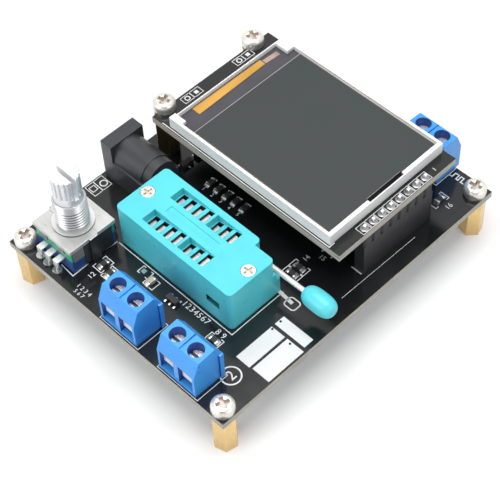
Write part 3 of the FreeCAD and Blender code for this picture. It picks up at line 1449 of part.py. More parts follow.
doc.recompute()
failed = [thing.Label for thing in doc.Objects if {"Invalid", "Error"} & set(thing.State)]
assert not failed, f"objects that did not rebuild: {failed}"
for thing in parts:
    assert not thing.Shape.isNull() and thing.Shape.isValid(), f"{thing.Label} has no valid shape"
os.makedirs("parts", exist_ok=True)
for thing in parts:
    thing.Shape.exportStep(os.path.join("parts", thing.Label + ".step"))
    print(f"{thing.Label}: {len(thing.Shape.Solids)} solid(s), {thing.Shape.Volume:.2f} mm3")
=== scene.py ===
# %% [markdown]
# A component tester is a bench tool: an open black circuit board on brass feet,
# with a lever test socket, a push-and-turn encoder, a power jack, blue screw
# terminals and a raised colour display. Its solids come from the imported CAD
# model. This lesson keeps every solid in place, gives it a finish, and adds the
# printed marks, solder and small fittings that the solids leave out.

# %% Load the frame
import json
import math

import bmesh
import bpy
from mathutils import Matrix, Vector

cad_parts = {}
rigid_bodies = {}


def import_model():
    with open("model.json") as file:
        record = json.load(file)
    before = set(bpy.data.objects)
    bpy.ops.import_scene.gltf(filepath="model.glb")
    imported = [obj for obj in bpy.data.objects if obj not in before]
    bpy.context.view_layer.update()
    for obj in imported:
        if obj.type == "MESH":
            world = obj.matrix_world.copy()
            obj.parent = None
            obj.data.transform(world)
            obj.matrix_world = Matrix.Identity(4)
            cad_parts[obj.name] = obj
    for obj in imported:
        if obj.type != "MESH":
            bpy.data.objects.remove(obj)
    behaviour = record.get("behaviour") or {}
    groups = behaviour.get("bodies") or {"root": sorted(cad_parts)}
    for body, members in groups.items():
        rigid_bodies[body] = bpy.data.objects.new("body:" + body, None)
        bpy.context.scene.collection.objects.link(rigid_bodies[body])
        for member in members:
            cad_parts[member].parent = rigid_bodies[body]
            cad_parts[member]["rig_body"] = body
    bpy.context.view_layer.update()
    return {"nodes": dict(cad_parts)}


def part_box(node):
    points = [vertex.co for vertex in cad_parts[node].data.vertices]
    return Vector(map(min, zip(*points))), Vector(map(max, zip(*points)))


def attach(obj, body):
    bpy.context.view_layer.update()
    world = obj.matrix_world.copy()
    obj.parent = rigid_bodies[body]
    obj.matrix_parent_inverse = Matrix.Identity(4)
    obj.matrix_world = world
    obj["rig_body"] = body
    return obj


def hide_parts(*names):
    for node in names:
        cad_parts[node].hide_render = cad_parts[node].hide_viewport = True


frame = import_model()
cad_nodes = frame["nodes"]
print("solids:", len(cad_nodes))

# %% [markdown]
# Drawings of a board are dimensioned from one corner. A small helper turns such
# a place, in millimetres from the front left corner and the board's top, into
# the frame's metres, so that each number below can be held against a ruler.

# %% Board ruler
MM = 0.001
PIN_PITCH = 2.54
HEADER_PINS = 8
board_low, board_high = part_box("main_board")


def on_board(x, y, z=0.0):
    """A point in millimetres from the board's front left corner and its top face."""
    return Vector((board_low.x + x * MM, board_low.y + y * MM, board_high.z + z * MM))


print("board in mm:", [round(v / MM, 2) for v in board_high - board_low])

# %% [markdown]
# The camera stands in front and to the right, looking down. Its place and its
# long lens were worked out from the corners of the board and the pitch of the
# pins, so that the lines of the render run as they do on the real object.

# %% Camera
scene = bpy.context.scene
azimuth, elevation, roll = (math.radians(v) for v in (47.88, 52.16, -3.40))
back = Vector((
    math.sin(azimuth) * math.cos(elevation),
    -math.cos(azimuth) * math.cos(elevation),
    math.sin(elevation),
))
level = (-back).cross(Vector((0, 0, 1))).normalized()
rise = level.cross(-back)
aside = math.cos(roll) * level + math.sin(roll) * rise
upward = math.cos(roll) * rise - math.sin(roll) * level
lens = bpy.data.cameras.new("camera")
lens.lens = 105.39
lens.clip_start = 0.02
lens.clip_end = 10.0
camera = bpy.data.objects.new("camera", lens)
camera.matrix_world = Matrix((aside, upward, back)).transposed().to_4x4()
camera.location = on_board(172.58, -89.68, 234.58)
scene.collection.objects.link(camera)
scene.camera = camera
print("camera at", [round(v, 3) for v in camera.location])

# %% [markdown]
# Light and finishes are built from shader nodes. Small helpers link two sockets,
# add a node, rescale a value and take the larger of two.

# %% Node helpers
scene.view_settings.view_transform = "Standard"


def wire(source, target):
    """Link an output socket to an input socket of the same node tree."""
    source.id_data.links.new(source, target)


def add_node(tree, kind, **settings):
    """A shader node. Each setting is a property, an input's value or a socket to link to an input."""
    made = tree.nodes.new("ShaderNode" + kind)
    for key, value in settings.items():
        if isinstance(value, bpy.types.NodeSocket):
            wire(value, made.inputs[key])
        elif key in made.inputs:
            made.inputs[key].default_value = value
        else:
            setattr(made, key, value)
    return made


def ranged(source, low, high, start, stop, clamp=True):
    """A value rescaled, so that low to high becomes start to stop."""
    scaled = add_node(source.id_data, "MapRange", clamp=clamp, Value=source)
    for key, value in zip(("From Min", "From Max", "To Min", "To Max"), (low, high, start, stop)):
        scaled.inputs[key].default_value = value
    return scaled.outputs["Result"]


def larger(first, second):
    """The larger of two values."""
    both = add_node(first.id_data, "Math", operation="MAXIMUM")
    wire(first, both.inputs[0])
    wire(second, both.inputs[1])
    return both.outputs[0]


print("view transform:", scene.view_settings.view_transform)

# %% [markdown]
# The tester stands in a light tent, with white paper all round. The front of the
# tent is open, so bright metal shows a darker patch on the side that faces the
# opening, and that patch is what makes it read as metal.

# %% Light tent
WHITE = (1.0, 1.0, 1.0, 1.0)
world = bpy.data.worlds.new("tent")
world.use_nodes = True
scene.world = world
sky = world.node_tree
sky.nodes.clear()
path = add_node(sky, "LightPath")
camera_ray = path.outputs["Is Camera Ray"]
around = add_node(sky, "TexCoord")
towards = add_node(sky, "VectorMath", operation="DOT_PRODUCT")
towards.inputs[1].default_value = back
wire(around.outputs["Generated"], towards.inputs[0])
opening = ranged(towards.outputs["Value"], 0.62, 0.93, 1.0, 0.28)
paper_level = larger(opening, camera_ray)
seen = larger(camera_ray, path.outputs["Is Glossy Ray"])
seen_through = larger(seen, path.outputs["Is Transmission Ray"])
tent_light = add_node(sky, "Background", Color=(0.93, 0.96, 1.0, 1.0), Strength=0.46)
tent_white = add_node(sky, "Background", Color=WHITE, Strength=paper_level)
tent_mix = add_node(sky, "MixShader")
wire(seen_through, tent_mix.inputs[0])
wire(tent_light.outputs[0], tent_mix.inputs[1])
wire(tent_white.outputs[0], tent_mix.inputs[2])
add_node(sky, "OutputWorld", Surface=tent_mix.outputs[0])
print("tent nodes:", len(sky.nodes))

# %% [markdown]
# A large soft lamp hangs above, and weaker ones stand in front and at the right.
# The floor is nearly white and glows more with distance, so only the contact
# shadow tells it from the background.

# %% Lamps and floor


def soft_lamp(name, place, size, watts, target=(0.0, 0.0, 0.01)):
    """A square area lamp that faces a point."""
    lamp = bpy.data.lights.new(name, "AREA")
    lamp.size = size
    lamp.energy = watts
    holder = bpy.data.objects.new(name, lamp)
    holder.location = place
    holder.rotation_euler = (Vector(target) - Vector(place)).to_track_quat("-Z", "Y").to_euler()
    scene.collection.objects.link(holder)


soft_lamp("top_lamp", (0.0, 0.0, 0.60), 0.40, 3.2)
soft_lamp("front_lamp", (-0.15, -0.60, 0.30), 0.40, 1.6)
soft_lamp("right_lamp", (0.60, 0.05, 0.30), 0.35, 0.8)

floor_mesh = bmesh.new()
bmesh.ops.create_grid(floor_mesh, x_segments=1, y_segments=1, size=3.0)
floor_data = bpy.data.meshes.new("floor")
floor_mesh.to_mesh(floor_data)
floor_mesh.free()
floor = bpy.data.objects.new("floor", floor_data)
scene.collection.objects.link(floor)
paper = bpy.data.materials.new("white_paper")
paper.use_nodes = True
floor_data.materials.append(paper)
sheet = paper.node_tree
sheet.nodes.clear()
sheet_path = add_node(sheet, "LightPath")
sheet_seen = larger(sheet_path.outputs["Is Camera Ray"], sheet_path.outputs["Is Glossy Ray"])
sheet_where = add_node(sheet, "TexCoord")
sheet_reach = add_node(sheet, "VectorMath", operation="LENGTH")
wire(sheet_where.outputs["Object"], sheet_reach.inputs[0])
sheet_gain = add_node(sheet, "Math", operation="MULTIPLY")
wire(sheet_seen, sheet_gain.inputs[0])
wire(ranged(sheet_reach.outputs["Value"], 0.25, 0.90, 0.22, 0.75), sheet_gain.inputs[1])
sheet_matte = add_node(sheet, "BsdfDiffuse", Color=(0.65, 0.65, 0.645, 1.0))
sheet_glow = add_node(sheet, "Emission", Color=WHITE, Strength=sheet_gain.outputs[0])
sheet_sum = add_node(sheet, "AddShader")
wire(sheet_matte.outputs[0], sheet_sum.inputs[0])
wire(sheet_glow.outputs[0], sheet_sum.inputs[1])
add_node(sheet, "OutputMaterial", Surface=sheet_sum.outputs[0])

# %% [markdown]
# Moulded plastic is never one flat colour: the pigment clouds a little, the
# mould leaves a fine grain, and handling polishes some places. One helper makes
# such a finish from noise on Object coordinates, and every plastic here is a
# setting of it.

# %% Plastic finishes


def shaded(name, specular=0.5, **settings):
    """A new material, its shader, and the socket of its Object coordinates."""
    material = bpy.data.materials.new(name)
    material.use_nodes = True
    tree = material.node_tree
    tree.nodes.clear()
    shader = add_node(tree, "BsdfPrincipled", **settings)
    shader.inputs["Specular IOR Level"].default_value = specular
    add_node(tree, "OutputMaterial", Surface=shader.outputs[0])
    where = add_node(tree, "TexCoord")
    return material, shader, where.outputs["Object"]


def cloud(where, scale, detail=4.0, stretch=(1.0, 1.0, 1.0)):
    """Noise in Object coordinates, with an optional stretch."""
    tree = where.id_data
    turn = add_node(tree, "Mapping", Vector=where, Scale=stretch)
    noise = add_node(tree, "TexNoise", Vector=turn.outputs[0], Scale=scale, Detail=detail)
    return noise.outputs["Fac"]


def coloured(shader, source, low, high, start=0.3, stop=0.7):
    """Colour a shader by a ramp between two colours, driven by a noise."""
    ramp = add_node(shader.id_data, "ValToRGB", Fac=source)
    ends = ramp.color_ramp.elements
    ends[0].position = start
    ends[0].color = (*low, 1.0)
    ends[1].position = stop
    ends[1].color = (*high, 1.0)
    wire(ramp.outputs["Color"], shader.inputs["Base Color"])


def polished(shader, source, low, high):
    """Let a noise move a shader's roughness between two numbers."""
    wire(ranged(source, 0.3, 0.7, low, high), shader.inputs["Roughness"])


def dimpled(shader, source, depth):
    """Fine relief from a noise."""
    relief = add_node(shader.id_data, "Bump", Strength=1.0, Distance=depth, Height=source)
    wire(relief.outputs["Normal"], shader.inputs["Normal"])


def tinted(colour, share):
    """A colour made darker or lighter, up to white."""
    return tuple(min(1.0, channel * share) for channel in colour)


def moulded(name, colour, rough, grain=0.00002, shift=0.08, specular=0.5):
    """Moulded plastic: clouded pigment, fine grain and uneven polish."""
    material, shader, where = shaded(name, specular)
    coloured(shader, cloud(where, 160.0), tinted(colour, 1 - shift), tinted(colour, 1 + shift))
    polished(shader, cloud(where, 420.0, 6.0), rough * 0.82, rough * 1.2)
    dimpled(shader, cloud(where, 5200.0, 2.0), grain)
    return material


teal = moulded("teal_moulding", (0.088, 0.595, 0.665), 0.32, grain=0.0000012, shift=0.05)
# Darker teal: painted shade on the floor of the base's window.
shaded_teal = moulded("teal_moulding_shaded", (0.025, 0.190, 0.215), 0.45, grain=0.0000012)
# Near-black teal: painted shade on the walls of the slots and the window, and on the slider.
teal_painted_deep_shade = moulded("teal_moulding_painted_deep_shade", (0.004, 0.020, 0.024), 0.55)
terminal_blue = moulded("blue_moulding", (0.048, 0.315, 0.810), 0.32, grain=0.0000012, shift=0.05)
# Darker blue: painted shade inside the terminals' housings.
terminal_painted_shade_blue = moulded("blue_moulding_painted_shade", (0.015, 0.085, 0.370), 0.45, grain=0.000002)
jack_black = moulded("jack_moulding", (0.030, 0.031, 0.036), 0.36, grain=0.00003)
strip_black = moulded("strip_moulding", (0.016, 0.016, 0.018), 0.45)
notch_painted_shade_black = moulded("notch_shade", (0.008, 0.008, 0.009), 0.70, specular=0.05)
frame_white = moulded("frame_moulding", (0.79, 0.80, 0.79), 0.36, shift=0.03)
wafer_green = moulded("wafer_laminate", (0.030, 0.330, 0.200), 0.38)
base_blue = moulded("base_moulding", (0.012, 0.070, 0.250), 0.36)
chip_black = moulded("chip_moulding", (0.018, 0.018, 0.020), 0.50, grain=0.00004)
ceramic_tan = moulded("ceramic_body", (0.48, 0.40, 0.29), 0.50)
ink_white = moulded("print_ink", (0.68, 0.68, 0.67), 0.50, grain=0.00001, shift=0.04)
print("materials so far:", len(bpy.data.materials))

# %% [markdown]
# Metals differ in their scratches. Turned and drawn parts carry fine lines along
# the tool's path, plated ones are smooth with faint stains. Stretched noise in
# the roughness and the relief gives both. A thin, cloudy plating scatters light
# like paint, so it is written as only partly metallic.

# %% Metal finishes


def metal(name, colour, rough, stretch=(1.0, 1.0, 1.0), relief=0.000004, stain=0.12, bare=1.0):
    """Bare or plated metal with fine lines and faint stains."""
    material, shader, where = shaded(name, Metallic=bare)
    stains = cloud(where, 240.0, 5.0)
    coloured(shader, stains, tinted(colour, 1 - stain), tinted(colour, 1 + stain * 0.4))
    lines = cloud(where, 2600.0, 3.0, stretch)
    polished(shader, lines, rough * 0.75, rough * 1.3)
    dimpled(shader, lines, relief)
    return material


brass = metal("hex_brass", (0.80, 0.57, 0.26), 0.28, (1.0, 1.0, 0.06), relief=0.000002)
nickel = metal("screw_nickel", (0.80, 0.77, 0.71), 0.32, bare=0.75)
# The crosses of the screw heads take painted shade.
screw_shade = metal("screw_recess", (0.66, 0.58, 0.52), 0.45, bare=0.5)
tin = metal("tinned_pin", (0.82, 0.82, 0.80), 0.34, bare=0.55)
gold = metal("gilt_pin", (0.86, 0.74, 0.46), 0.24)
zinc = metal("cast_zinc", (0.78, 0.78, 0.79), 0.34, (1.0, 1.0, 0.2), relief=0.000001, bare=0.5)
plate_steel = metal("plate_steel", (0.62, 0.62, 0.60), 0.36, (0.1, 1.0, 1.0), bare=0.6)
cage_steel = metal("cage_steel", (0.30, 0.30, 0.29), 0.34, bare=0.6)
# Near-black steel: painted shade on the encoder's sides and lugs.
steel_painted_shade = metal("steel_painted_shade", (0.055, 0.060, 0.064), 0.34, bare=0.6)
# A darker brass: painted shade on the display posts under the display board.
post_brass_painted_shade = metal("post_brass_painted_shade", (0.40, 0.31, 0.17), 0.40, relief=0.000001, stain=0.3)
# A darker grey solder for the display's pin joints.
dark_grey_solder = metal("dark_grey_solder", (0.34, 0.34, 0.35), 0.36, stain=0.5, bare=0.7)
# Pale, nearly matte metal: painted light in the shaft's slot and on its cut end.
shaft_slot_painted_light = metal("shaft_slot", (0.88, 0.88, 0.88), 0.45, relief=0.000001, stain=0.06, bare=0.1)
rod_chrome = metal("rod_chrome", (0.78, 0.77, 0.75), 0.30, bare=0.4)
clamp_zinc = metal("clamp_zinc", (0.88, 0.86, 0.86), 0.42, bare=0.2)
screw_zinc = metal("clamp_screw_zinc", (0.84, 0.84, 0.87), 0.28, bare=0.7)
clamp_shade = metal("clamp_slot", (0.10, 0.11, 0.16), 0.50, bare=0.4)
solder = metal("solder_joint", (0.58, 0.58, 0.57), 0.24, bare=0.85)


def thread_painted_shade_zinc(top, pitch, turn_count=40, collar_turn=37.1):
    """Zinc with painted light and shade: dark at the root and bright on the flank inside each turn of
    the thread, following the height, up to a plain collar.
    """
    material, shader, where = shaded("thread_painted_shade_zinc", Metallic=0.7, Roughness=0.34)
    tree = material.node_tree
    axes = add_node(tree, "SeparateXYZ", Vector=where)
    turns = ranged(axes.outputs["Z"], top - turn_count * pitch, top, 0.0, turn_count, clamp=False)
    share = add_node(tree, "Math", operation="FRACT")
    wire(turns, share.inputs[0])
    ramp = add_node(tree, "ValToRGB", Fac=share.outputs[0])
    tones = ((0.0, 0.05), (0.38, 0.30), (0.50, 0.80), (0.72, 0.62), (0.92, 0.10))
    for spot, (place, level) in enumerate(tones):
        stop = ramp.color_ramp.elements[spot] if spot < 2 else ramp.color_ramp.elements.new(place)
        stop.position = place
        stop.color = (level, level, level * 1.01, 1.0)
    collar = add_node(tree, "Math", operation="GREATER_THAN")
    collar.inputs[1].default_value = collar_turn
    wire(turns, collar.inputs[0])
    finish = add_node(tree, "Mix", data_type="RGBA")
    finish.inputs["B"].default_value = (0.60, 0.61, 0.62, 1.0)
    wire(collar.outputs[0], finish.inputs["Factor"])
    wire(ramp.outputs["Color"], finish.inputs["A"])
    wire(finish.outputs["Result"], shader.inputs["Base Color"])
    dimpled(shader, cloud(where, 2600.0, 3.0), 0.000003)
    return material


bushing_painted_shade_zinc = thread_painted_shade_zinc(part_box("encoder_bushing")[1].z, 0.75 * MM)
print("materials so far:", len(bpy.data.materials))

# %% [markdown]
# The boards are glass laminate under a glossy black mask, so smooth that it
# mirrors the display above it. The sawn edge shows the bare laminate. The display
# is a stack of glass with a dark film, and an amber film runs along its ledge.

# %% Board and display finishes

# Glossy mask over laminate: near black, with a very faint relief.
mask, shader, where = shaded("black_mask", 0.55)
coloured(shader, cloud(where, 70.0, 3.0), (0.006, 0.0065, 0.007), (0.012, 0.0125, 0.013))
polished(shader, cloud(where, 300.0, 5.0), 0.10, 0.20)
dimpled(shader, cloud(where, 1400.0, 4.0), 0.0000015)

# Cut laminate: pale layers lying flat in the board's edge.
laminate, shader, where = shaded("sawn_laminate", Roughness=0.62)
layers = cloud(where, 900.0, 3.0, (0.2, 0.2, 6.0))
coloured(shader, layers, (0.28, 0.265, 0.225), (0.52, 0.50, 0.44))
dimpled(shader, layers, 0.00003)

# The display's film: even dark grey with a dull sheen.
film, shader, where = shaded("display_film", 0.25)
coloured(shader, cloud(where, 30.0, 2.0), (0.040, 0.047, 0.046), (0.044, 0.051, 0.050))
polished(shader, cloud(where, 900.0, 2.0), 0.40, 0.46)

# The ledge film: amber plastic with a long, uneven blush.
amber, shader, where = shaded("amber_film", Roughness=0.34)
blush = cloud(where, 260.0, 3.0, (1.0, 0.25, 1.0))
coloured(shader, blush, (0.47, 0.245, 0.030), (0.66, 0.37, 0.075), 0.25, 0.75)
dimpled(shader, cloud(where, 700.0, 3.0), 0.00001)

ledge_glass = moulded("ledge_glass", (0.058, 0.055, 0.066), 0.22, grain=0.000001, shift=0.12)
film_edge = moulded("film_edge", (0.36, 0.33, 0.31), 0.40, grain=0.000002)
film_glue = moulded("film_glue", (0.20, 0.135, 0.10), 0.40, grain=0.000002)
brown_film = moulded("brown_film", (0.34, 0.25, 0.20), 0.36, grain=0.00001, shift=0.35)
print("materials in all:", len(bpy.data.materials))

# %% [markdown]
# A moulded or cut part has no perfectly sharp edge: its small round catches a
# line of light. Each visible solid is copied, its loose triangles are merged,
# flat faces are joined, and its sharp edges are bevelled by about a tenth of a
# millimetre. The copy stands for the solid, which stays for the physics.

# %% Rounded copies


def piece(name, mesh, materials, body="tester", stands_for=()):
    """A finished bmesh as an object that rides on a body."""
    for face in mesh.faces:
        face.smooth = True
    for edge in mesh.edges:
        edge.smooth = edge.is_manifold and edge.calc_face_angle(0.0) < math.radians(32)
    data = bpy.data.meshes.new(name)
    mesh.to_mesh(data)
    mesh.free()
    for material in materials:
        data.materials.append(material)
    thing = bpy.data.objects.new(name, data)
    scene.collection.objects.link(thing)
    shading = thing.modifiers.new("even_shading", "WEIGHTED_NORMAL")
    shading.keep_sharp = True
    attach(thing, body)
    if stands_for:
        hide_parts(*stands_for)


body_of_node = {node: thing["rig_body"] for node, thing in cad_nodes.items()}


def dressed(node, mesh, materials):
    """A finished bmesh that stands for a solid."""
    piece(node + "_look", mesh, materials, body_of_node[node], [node])


def merged(node):
    """A solid's mesh with its triangles joined up."""
    mesh = bmesh.new()
    mesh.from_mesh(cad_nodes[node].data)
    bmesh.ops.remove_doubles(mesh, verts=mesh.verts, dist=1e-6)
    bmesh.ops.dissolve_limit(mesh, angle_limit=math.radians(1.0), verts=mesh.verts, edges=mesh.edges)
    return mesh


def bevelled(mesh, geom, width, segments, affect="EDGES"):
    """Bevel some edges or corners, with a round profile."""
    return bmesh.ops.bevel(
        mesh, geom=geom, offset=width, offset_type="OFFSET", segments=segments,
        profile=0.5, affect=affect, clamp_overlap=True, material=-1)


def rounded_edges(mesh, width, segments=2, spare=None):
    """Bevel every sharp edge of a mesh, apart from those that a rule spares."""
    sharp = [e for e in mesh.edges if e.is_manifold and e.calc_face_angle(0.0) > math.radians(35)]
    if spare:
        sharp = [e for e in sharp if not spare(e)]
    bevelled(mesh, sharp, width, segments)


def spun(mesh, corners, centre, axis, steps):
    """Turn a line of corners once round an axis."""
    edges = [mesh.edges.new(pair) for pair in zip(corners, corners[1:])]
    bmesh.ops.spin(
        mesh, geom=corners + edges, cent=centre, axis=axis, angle=math.tau, steps=steps, use_merge=True)


def closed(mesh):
    """Join the corners that meet, and turn every face outwards."""
    bmesh.ops.remove_doubles(mesh, verts=mesh.verts, dist=1e-7)
    bmesh.ops.recalc_face_normals(mesh, faces=mesh.faces)


print("bodies:", sorted(set(body_of_node.values())))

# %% [markdown]
# Some faces of a moulding need a colour of their own, such as painted shade on the walls of a deep slot
# or in the cross of a screw. Rules pick them by place and direction, before the edges are bevelled.

# %% Rules about faces


def islands(mesh):
    """The separate solids of a mesh, each a list of vertices."""
    waiting = set(mesh.verts)
    found = []
    for seed in mesh.verts:
        if seed in waiting:
            waiting.discard(seed)
            solid = [seed]
            for here in solid:
                for edge in here.link_edges:
                    there = edge.other_vert(here)
                    if there in waiting:
                        waiting.discard(there)
                        solid.append(there)
            found.append(solid)
    return found


def extent(verts):
    """Lowest and highest corner of some vertices."""
    low = Vector(min(v.co[axis] for v in verts) for axis in range(3))
    high = Vector(max(v.co[axis] for v in verts) for axis in range(3))
    return low, high


def recess(reach, depth):
    """A rule that picks the faces of a driver recess within a reach of each screw's axis."""

    def pick(mesh):
        chosen = []
        for solid in islands(mesh):
            low, high = extent(solid)
            axis = (low + high) / 2
            for face in {f for v in solid for f in v.link_faces}:
                centre = face.calc_center_median()
                wide = max((v.co - axis).xy.length for v in face.verts)
                inward = (centre - axis).xy.dot(face.normal.xy) < -1e-7
                end_gap = min(centre.z - low.z, high.z - centre.z)
                is_floor = abs(face.normal.z) > 0.9 and end_gap > depth * MM
                if wide < reach * MM and (inward or is_floor):
                    chosen.append(face)
        return chosen

    return pick


def middle_in(face, low, high):
    """For each axis, whether a face's middle lies between two corners."""
    return [a < m < b for a, m, b in zip(low, face.calc_center_median(), high)]


def inside(low, high, steepest=0.5):
    """A rule that picks the steep enough faces whose middles lie in a box."""
    return lambda mesh: [
        f for f in mesh.faces if abs(f.normal.z) < steepest and all(middle_in(f, low, high))]


def below(height):
    """A rule that picks the faces whose middles lie under a height."""
    return lambda mesh: [f for f in mesh.faces if f.calc_center_median().z < height]


def rooms(node):
    """A rule that picks the upright walls, the ceilings and the rib fronts inside a housing's rooms,
    which take painted shade.
    """
    low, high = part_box(node)
    margin = Vector((0.6, 0.3, 0.4)) * MM

    def in_room(face):
        square = abs(face.normal.z) < 0.02 or face.normal.z < -0.98
        within = middle_in(face, low + margin, high - margin)
        rib_front = abs(face.normal.y) > 0.9 and within[1] and not within[0]
        return square and (all(within) or rib_front)

    return lambda mesh: [f for f in mesh.faces if in_room(f)]


def softened(node, width, materials, inner=(), segments=2, spare=None, mesh=None):
    """A rounded copy that stands for a solid, with a further finish for each rule about its faces."""
    if mesh is None:
        mesh = merged(node)
    for index, rule in enumerate(inner):
        for face in rule(mesh):
            face.material_index = index + 1
    rounded_edges(mesh, width * MM, segments, spare)
    dressed(node, mesh, materials)


# %% [markdown]
# The test socket is moulded in two halves. Their joint is so close that it hardly
# shows, so its edges stay sharp, and the walls of the narrow slots are shaded dark
# because almost no light gets down there. Beside each slot is a well with a gently
# sloping floor. The lever's grip is spun from a full oval.

# %% Test socket
socket_low, socket_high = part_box("zif_cover")
joint_height = socket_low.z
contact_low, contact_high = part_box("zif_contacts")
base_low, base_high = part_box("zif_base")
slot_low = Vector((contact_low.x - 0.9 * MM, contact_low.y - 0.7 * MM, joint_height))
slot_high = Vector((contact_high.x + 1.2 * MM, contact_high.y + 0.7 * MM, socket_high.z - 2.1 * MM))
window_low = Vector((base_high.x - 7.2 * MM, base_low.y + 0.05 * MM, joint_height - 2.7 * MM))
window_high = Vector((base_high.x - 3.1 * MM, base_low.y + 3.4 * MM, joint_height - 0.5 * MM))


def in_joint(edge):
    """Whether an edge lies in the joint of the two halves."""
    return all(abs(v.co.z - joint_height) < 0.01 * MM for v in edge.verts)


def sloping_floors(mesh):
    """The floors of the wells."""
    return [f for f in mesh.faces if f.normal.z > 0.5 and abs(f.normal.x) > 0.05]


def eased_cover(share=0.62):
    """The socket's cover, with the floors of its wells a little less deep."""
    mesh = merged("zif_cover")
    for vert in {v for f in sloping_floors(mesh) for v in f.verts}:
        vert.co.z = socket_high.z - (socket_high.z - vert.co.z) * share
    mesh.normal_update()
    return mesh


def raised_contacts(drop=0.9 * MM):
    """The contacts, each reaching up to just under the sloping floor beside its slot."""
    cover = eased_cover()
    planes = [(extent(f.verts), f.normal.copy(), f.calc_center_median()) for f in sloping_floors(cover)]
    cover.free()
    mesh = merged("zif_contacts")
    for solid in islands(mesh):
        low, high = extent(solid)
        middle = (low + high) / 2
        for (slope_low, slope_high), normal, centre in planes:
            along_x = slope_low.x - 0.9 * MM < middle.x < slope_high.x + 0.9 * MM
            along_y = slope_low.y - 0.5 * MM < middle.y < slope_high.y + 0.5 * MM
            if along_x and along_y:
                floor_z = centre.z - normal.x / normal.z * (middle.x - centre.x)
                for vert in solid:
                    if vert.co.z > high.z - 0.01 * MM:
                        vert.co.z = max(high.z, floor_z - drop)
                break
    return mesh


def egg_grip(fullness=2.9, steps=24):
    """The lever's grip, spun from a full oval that fills the box of its solid."""
    low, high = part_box("zif_lever_knob")
    middle = (low + high) / 2
    half = (high - low) / 2
    mesh = bmesh.new()
    corners = []
    for step in range(steps + 1):
        turn = math.pi * step / steps
        along = math.copysign(abs(math.cos(turn)) ** (2 / fullness), math.cos(turn))
        out = abs(math.sin(turn)) ** (2 / fullness) if 0 < step < steps else 0.0
        corners.append(mesh.verts.new(middle + Vector((along * half.x, 0.0, out * half.z))))
    spun(mesh, corners, middle, (1, 0, 0), 40)
    closed(mesh)
    return mesh


slots = [inside(slot_low, slot_high)]
softened("zif_cover", 0.18, [teal, teal_painted_deep_shade], slots, 2, in_joint, eased_cover())
# The window in the base is painted with shade: darker teal on its floor and near-black teal on its
# walls.
window = [inside(window_low, window_high, 2.0), inside(window_low, window_high)]
softened("zif_base", 0.15, [teal, shaded_teal, teal_painted_deep_shade], window, 2, in_joint)
softened("zif_lever", 0.05, [rod_chrome])
softened("zif_screws", 0.08, [nickel, screw_shade], [recess(1.2, 0.3)])
softened("zif_contacts", 0.05, [tin], mesh=raised_contacts())
dressed("zif_lever_knob", egg_grip(), [teal])
print("test socket joint at", round(joint_height / MM, 2), "mm")

# %% [markdown]
# The screw terminals are bright blue mouldings round zinc-plated clamps. The walls and ceilings inside
# the housings and the fronts of their side ribs are painted a darker blue as shade. The slot of each
# clamp screw is shaded, so that it can be read from above through the hole in the top.

# %% Terminals, jack and encoder
TERMINALS = (1, 2, 3)


def shaft_slot(mesh):
    """The shaft's cut end, and the walls and the floor of the slot across it."""
    low, high = extent(mesh.verts)
    middle = (low + high) / 2
    chosen = []
    for face in mesh.faces:
        centre = face.calc_center_median()
        near_axis = abs((centre - middle).dot(face.normal)) < 0.8 * MM
        wall = abs(face.normal.z) < 0.1 and near_axis and face.calc_area() > 3e-6
        flat = abs(face.normal.z) > 0.9 and high.z - centre.z < 6.5 * MM
        if wall or flat:
            chosen.append(face)
    return chosen


for number in TERMINALS:
    housing = f"terminal_{number}_housing"
    softened(housing, 0.12, [terminal_blue, terminal_painted_shade_blue], [rooms(housing)])
    for pole in "ab":
        screw = f"terminal_{number}_screw_{pole}"
        softened(screw, 0.06, [screw_zinc, clamp_shade], [recess(1.7, 0.4)])
        softened(f"terminal_{number}_clamp_{pole}", 0.06, [clamp_zinc])
for node, width, finish in (
    ("dc_jack_housing", 0.18, jack_black), ("dc_jack_pin", 0.08, tin),
    ("dc_jack_switch_contact", 0.05, tin), ("encoder_base", 0.10, base_blue),
    ("encoder_wafer", 0.06, wafer_green), ("encoder_terminals", 0.08, tin),
):
    softened(node, width, [finish])
# The plate's lugs below the wafer's top are painted near black, as shade.
side_lugs = below(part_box("encoder_wafer")[1].z - 0.05 * MM)
softened("encoder_plate", 0.10, [plate_steel, steel_painted_shade], [side_lugs])
softened("encoder_bushing", 0.02, [bushing_painted_shade_zinc], segments=1)
# The slot and the cut end of the shaft are painted pale and nearly matte, painted light for the
# brightness inside the slot.
softened("encoder_shaft", 0.05, [zinc, shaft_slot_painted_light], [shaft_slot], 1)
print("terminals:", len(TERMINALS))

# %% [markdown]
# Small chips stand on tinned legs. The solids have legs and body in one, so the
# faces that lie below the body's underside take the metal finish.

# %% Posts, screws and board parts
# The display posts take the darker brass, painted shade under the display board.
for node, width, finish in (
    ("corner_standoffs", 0.12, brass), ("display_posts", 0.12, post_brass_painted_shade),
    ("lcd_frame", 0.10, frame_white), ("display_socket", 0.06, strip_black),
    ("display_header_pins", 0.05, tin), ("microcontroller", 0.06, chip_black), ("crystal", 0.10, tin),
):
    softened(node, width, [finish])
softened("board_screws", 0.10, [nickel, screw_shade], [recess(1.75, 0.6)])
softened("regulator", 0.05, [chip_black, tin], [below(board_high.z + 0.41 * MM)])
for node in ("transistors", "voltage_reference", "guard_chip"):
    softened(node, 0.03, [chip_black, tin], [below(board_high.z + 0.16 * MM)])

# %% [markdown]
# A chip resistor or capacitor is a small ceramic brick with a tinned cap on each
# end and a fillet of solder beside it. Each cap is a block a little larger than
# the brick's end, and the fillet is a block whose outer top edge is pushed down to
# the pad.

# %% Chip resistors and capacitors


def brick(mesh, low, high):
    """A box between two corners, as vertices of a mesh."""
    middle = Matrix.Translation((low + high) / 2)
    size = Matrix.Diagonal((*(high - low), 1.0))
    return bmesh.ops.create_cube(mesh, size=1.0, matrix=middle @ size)["verts"]


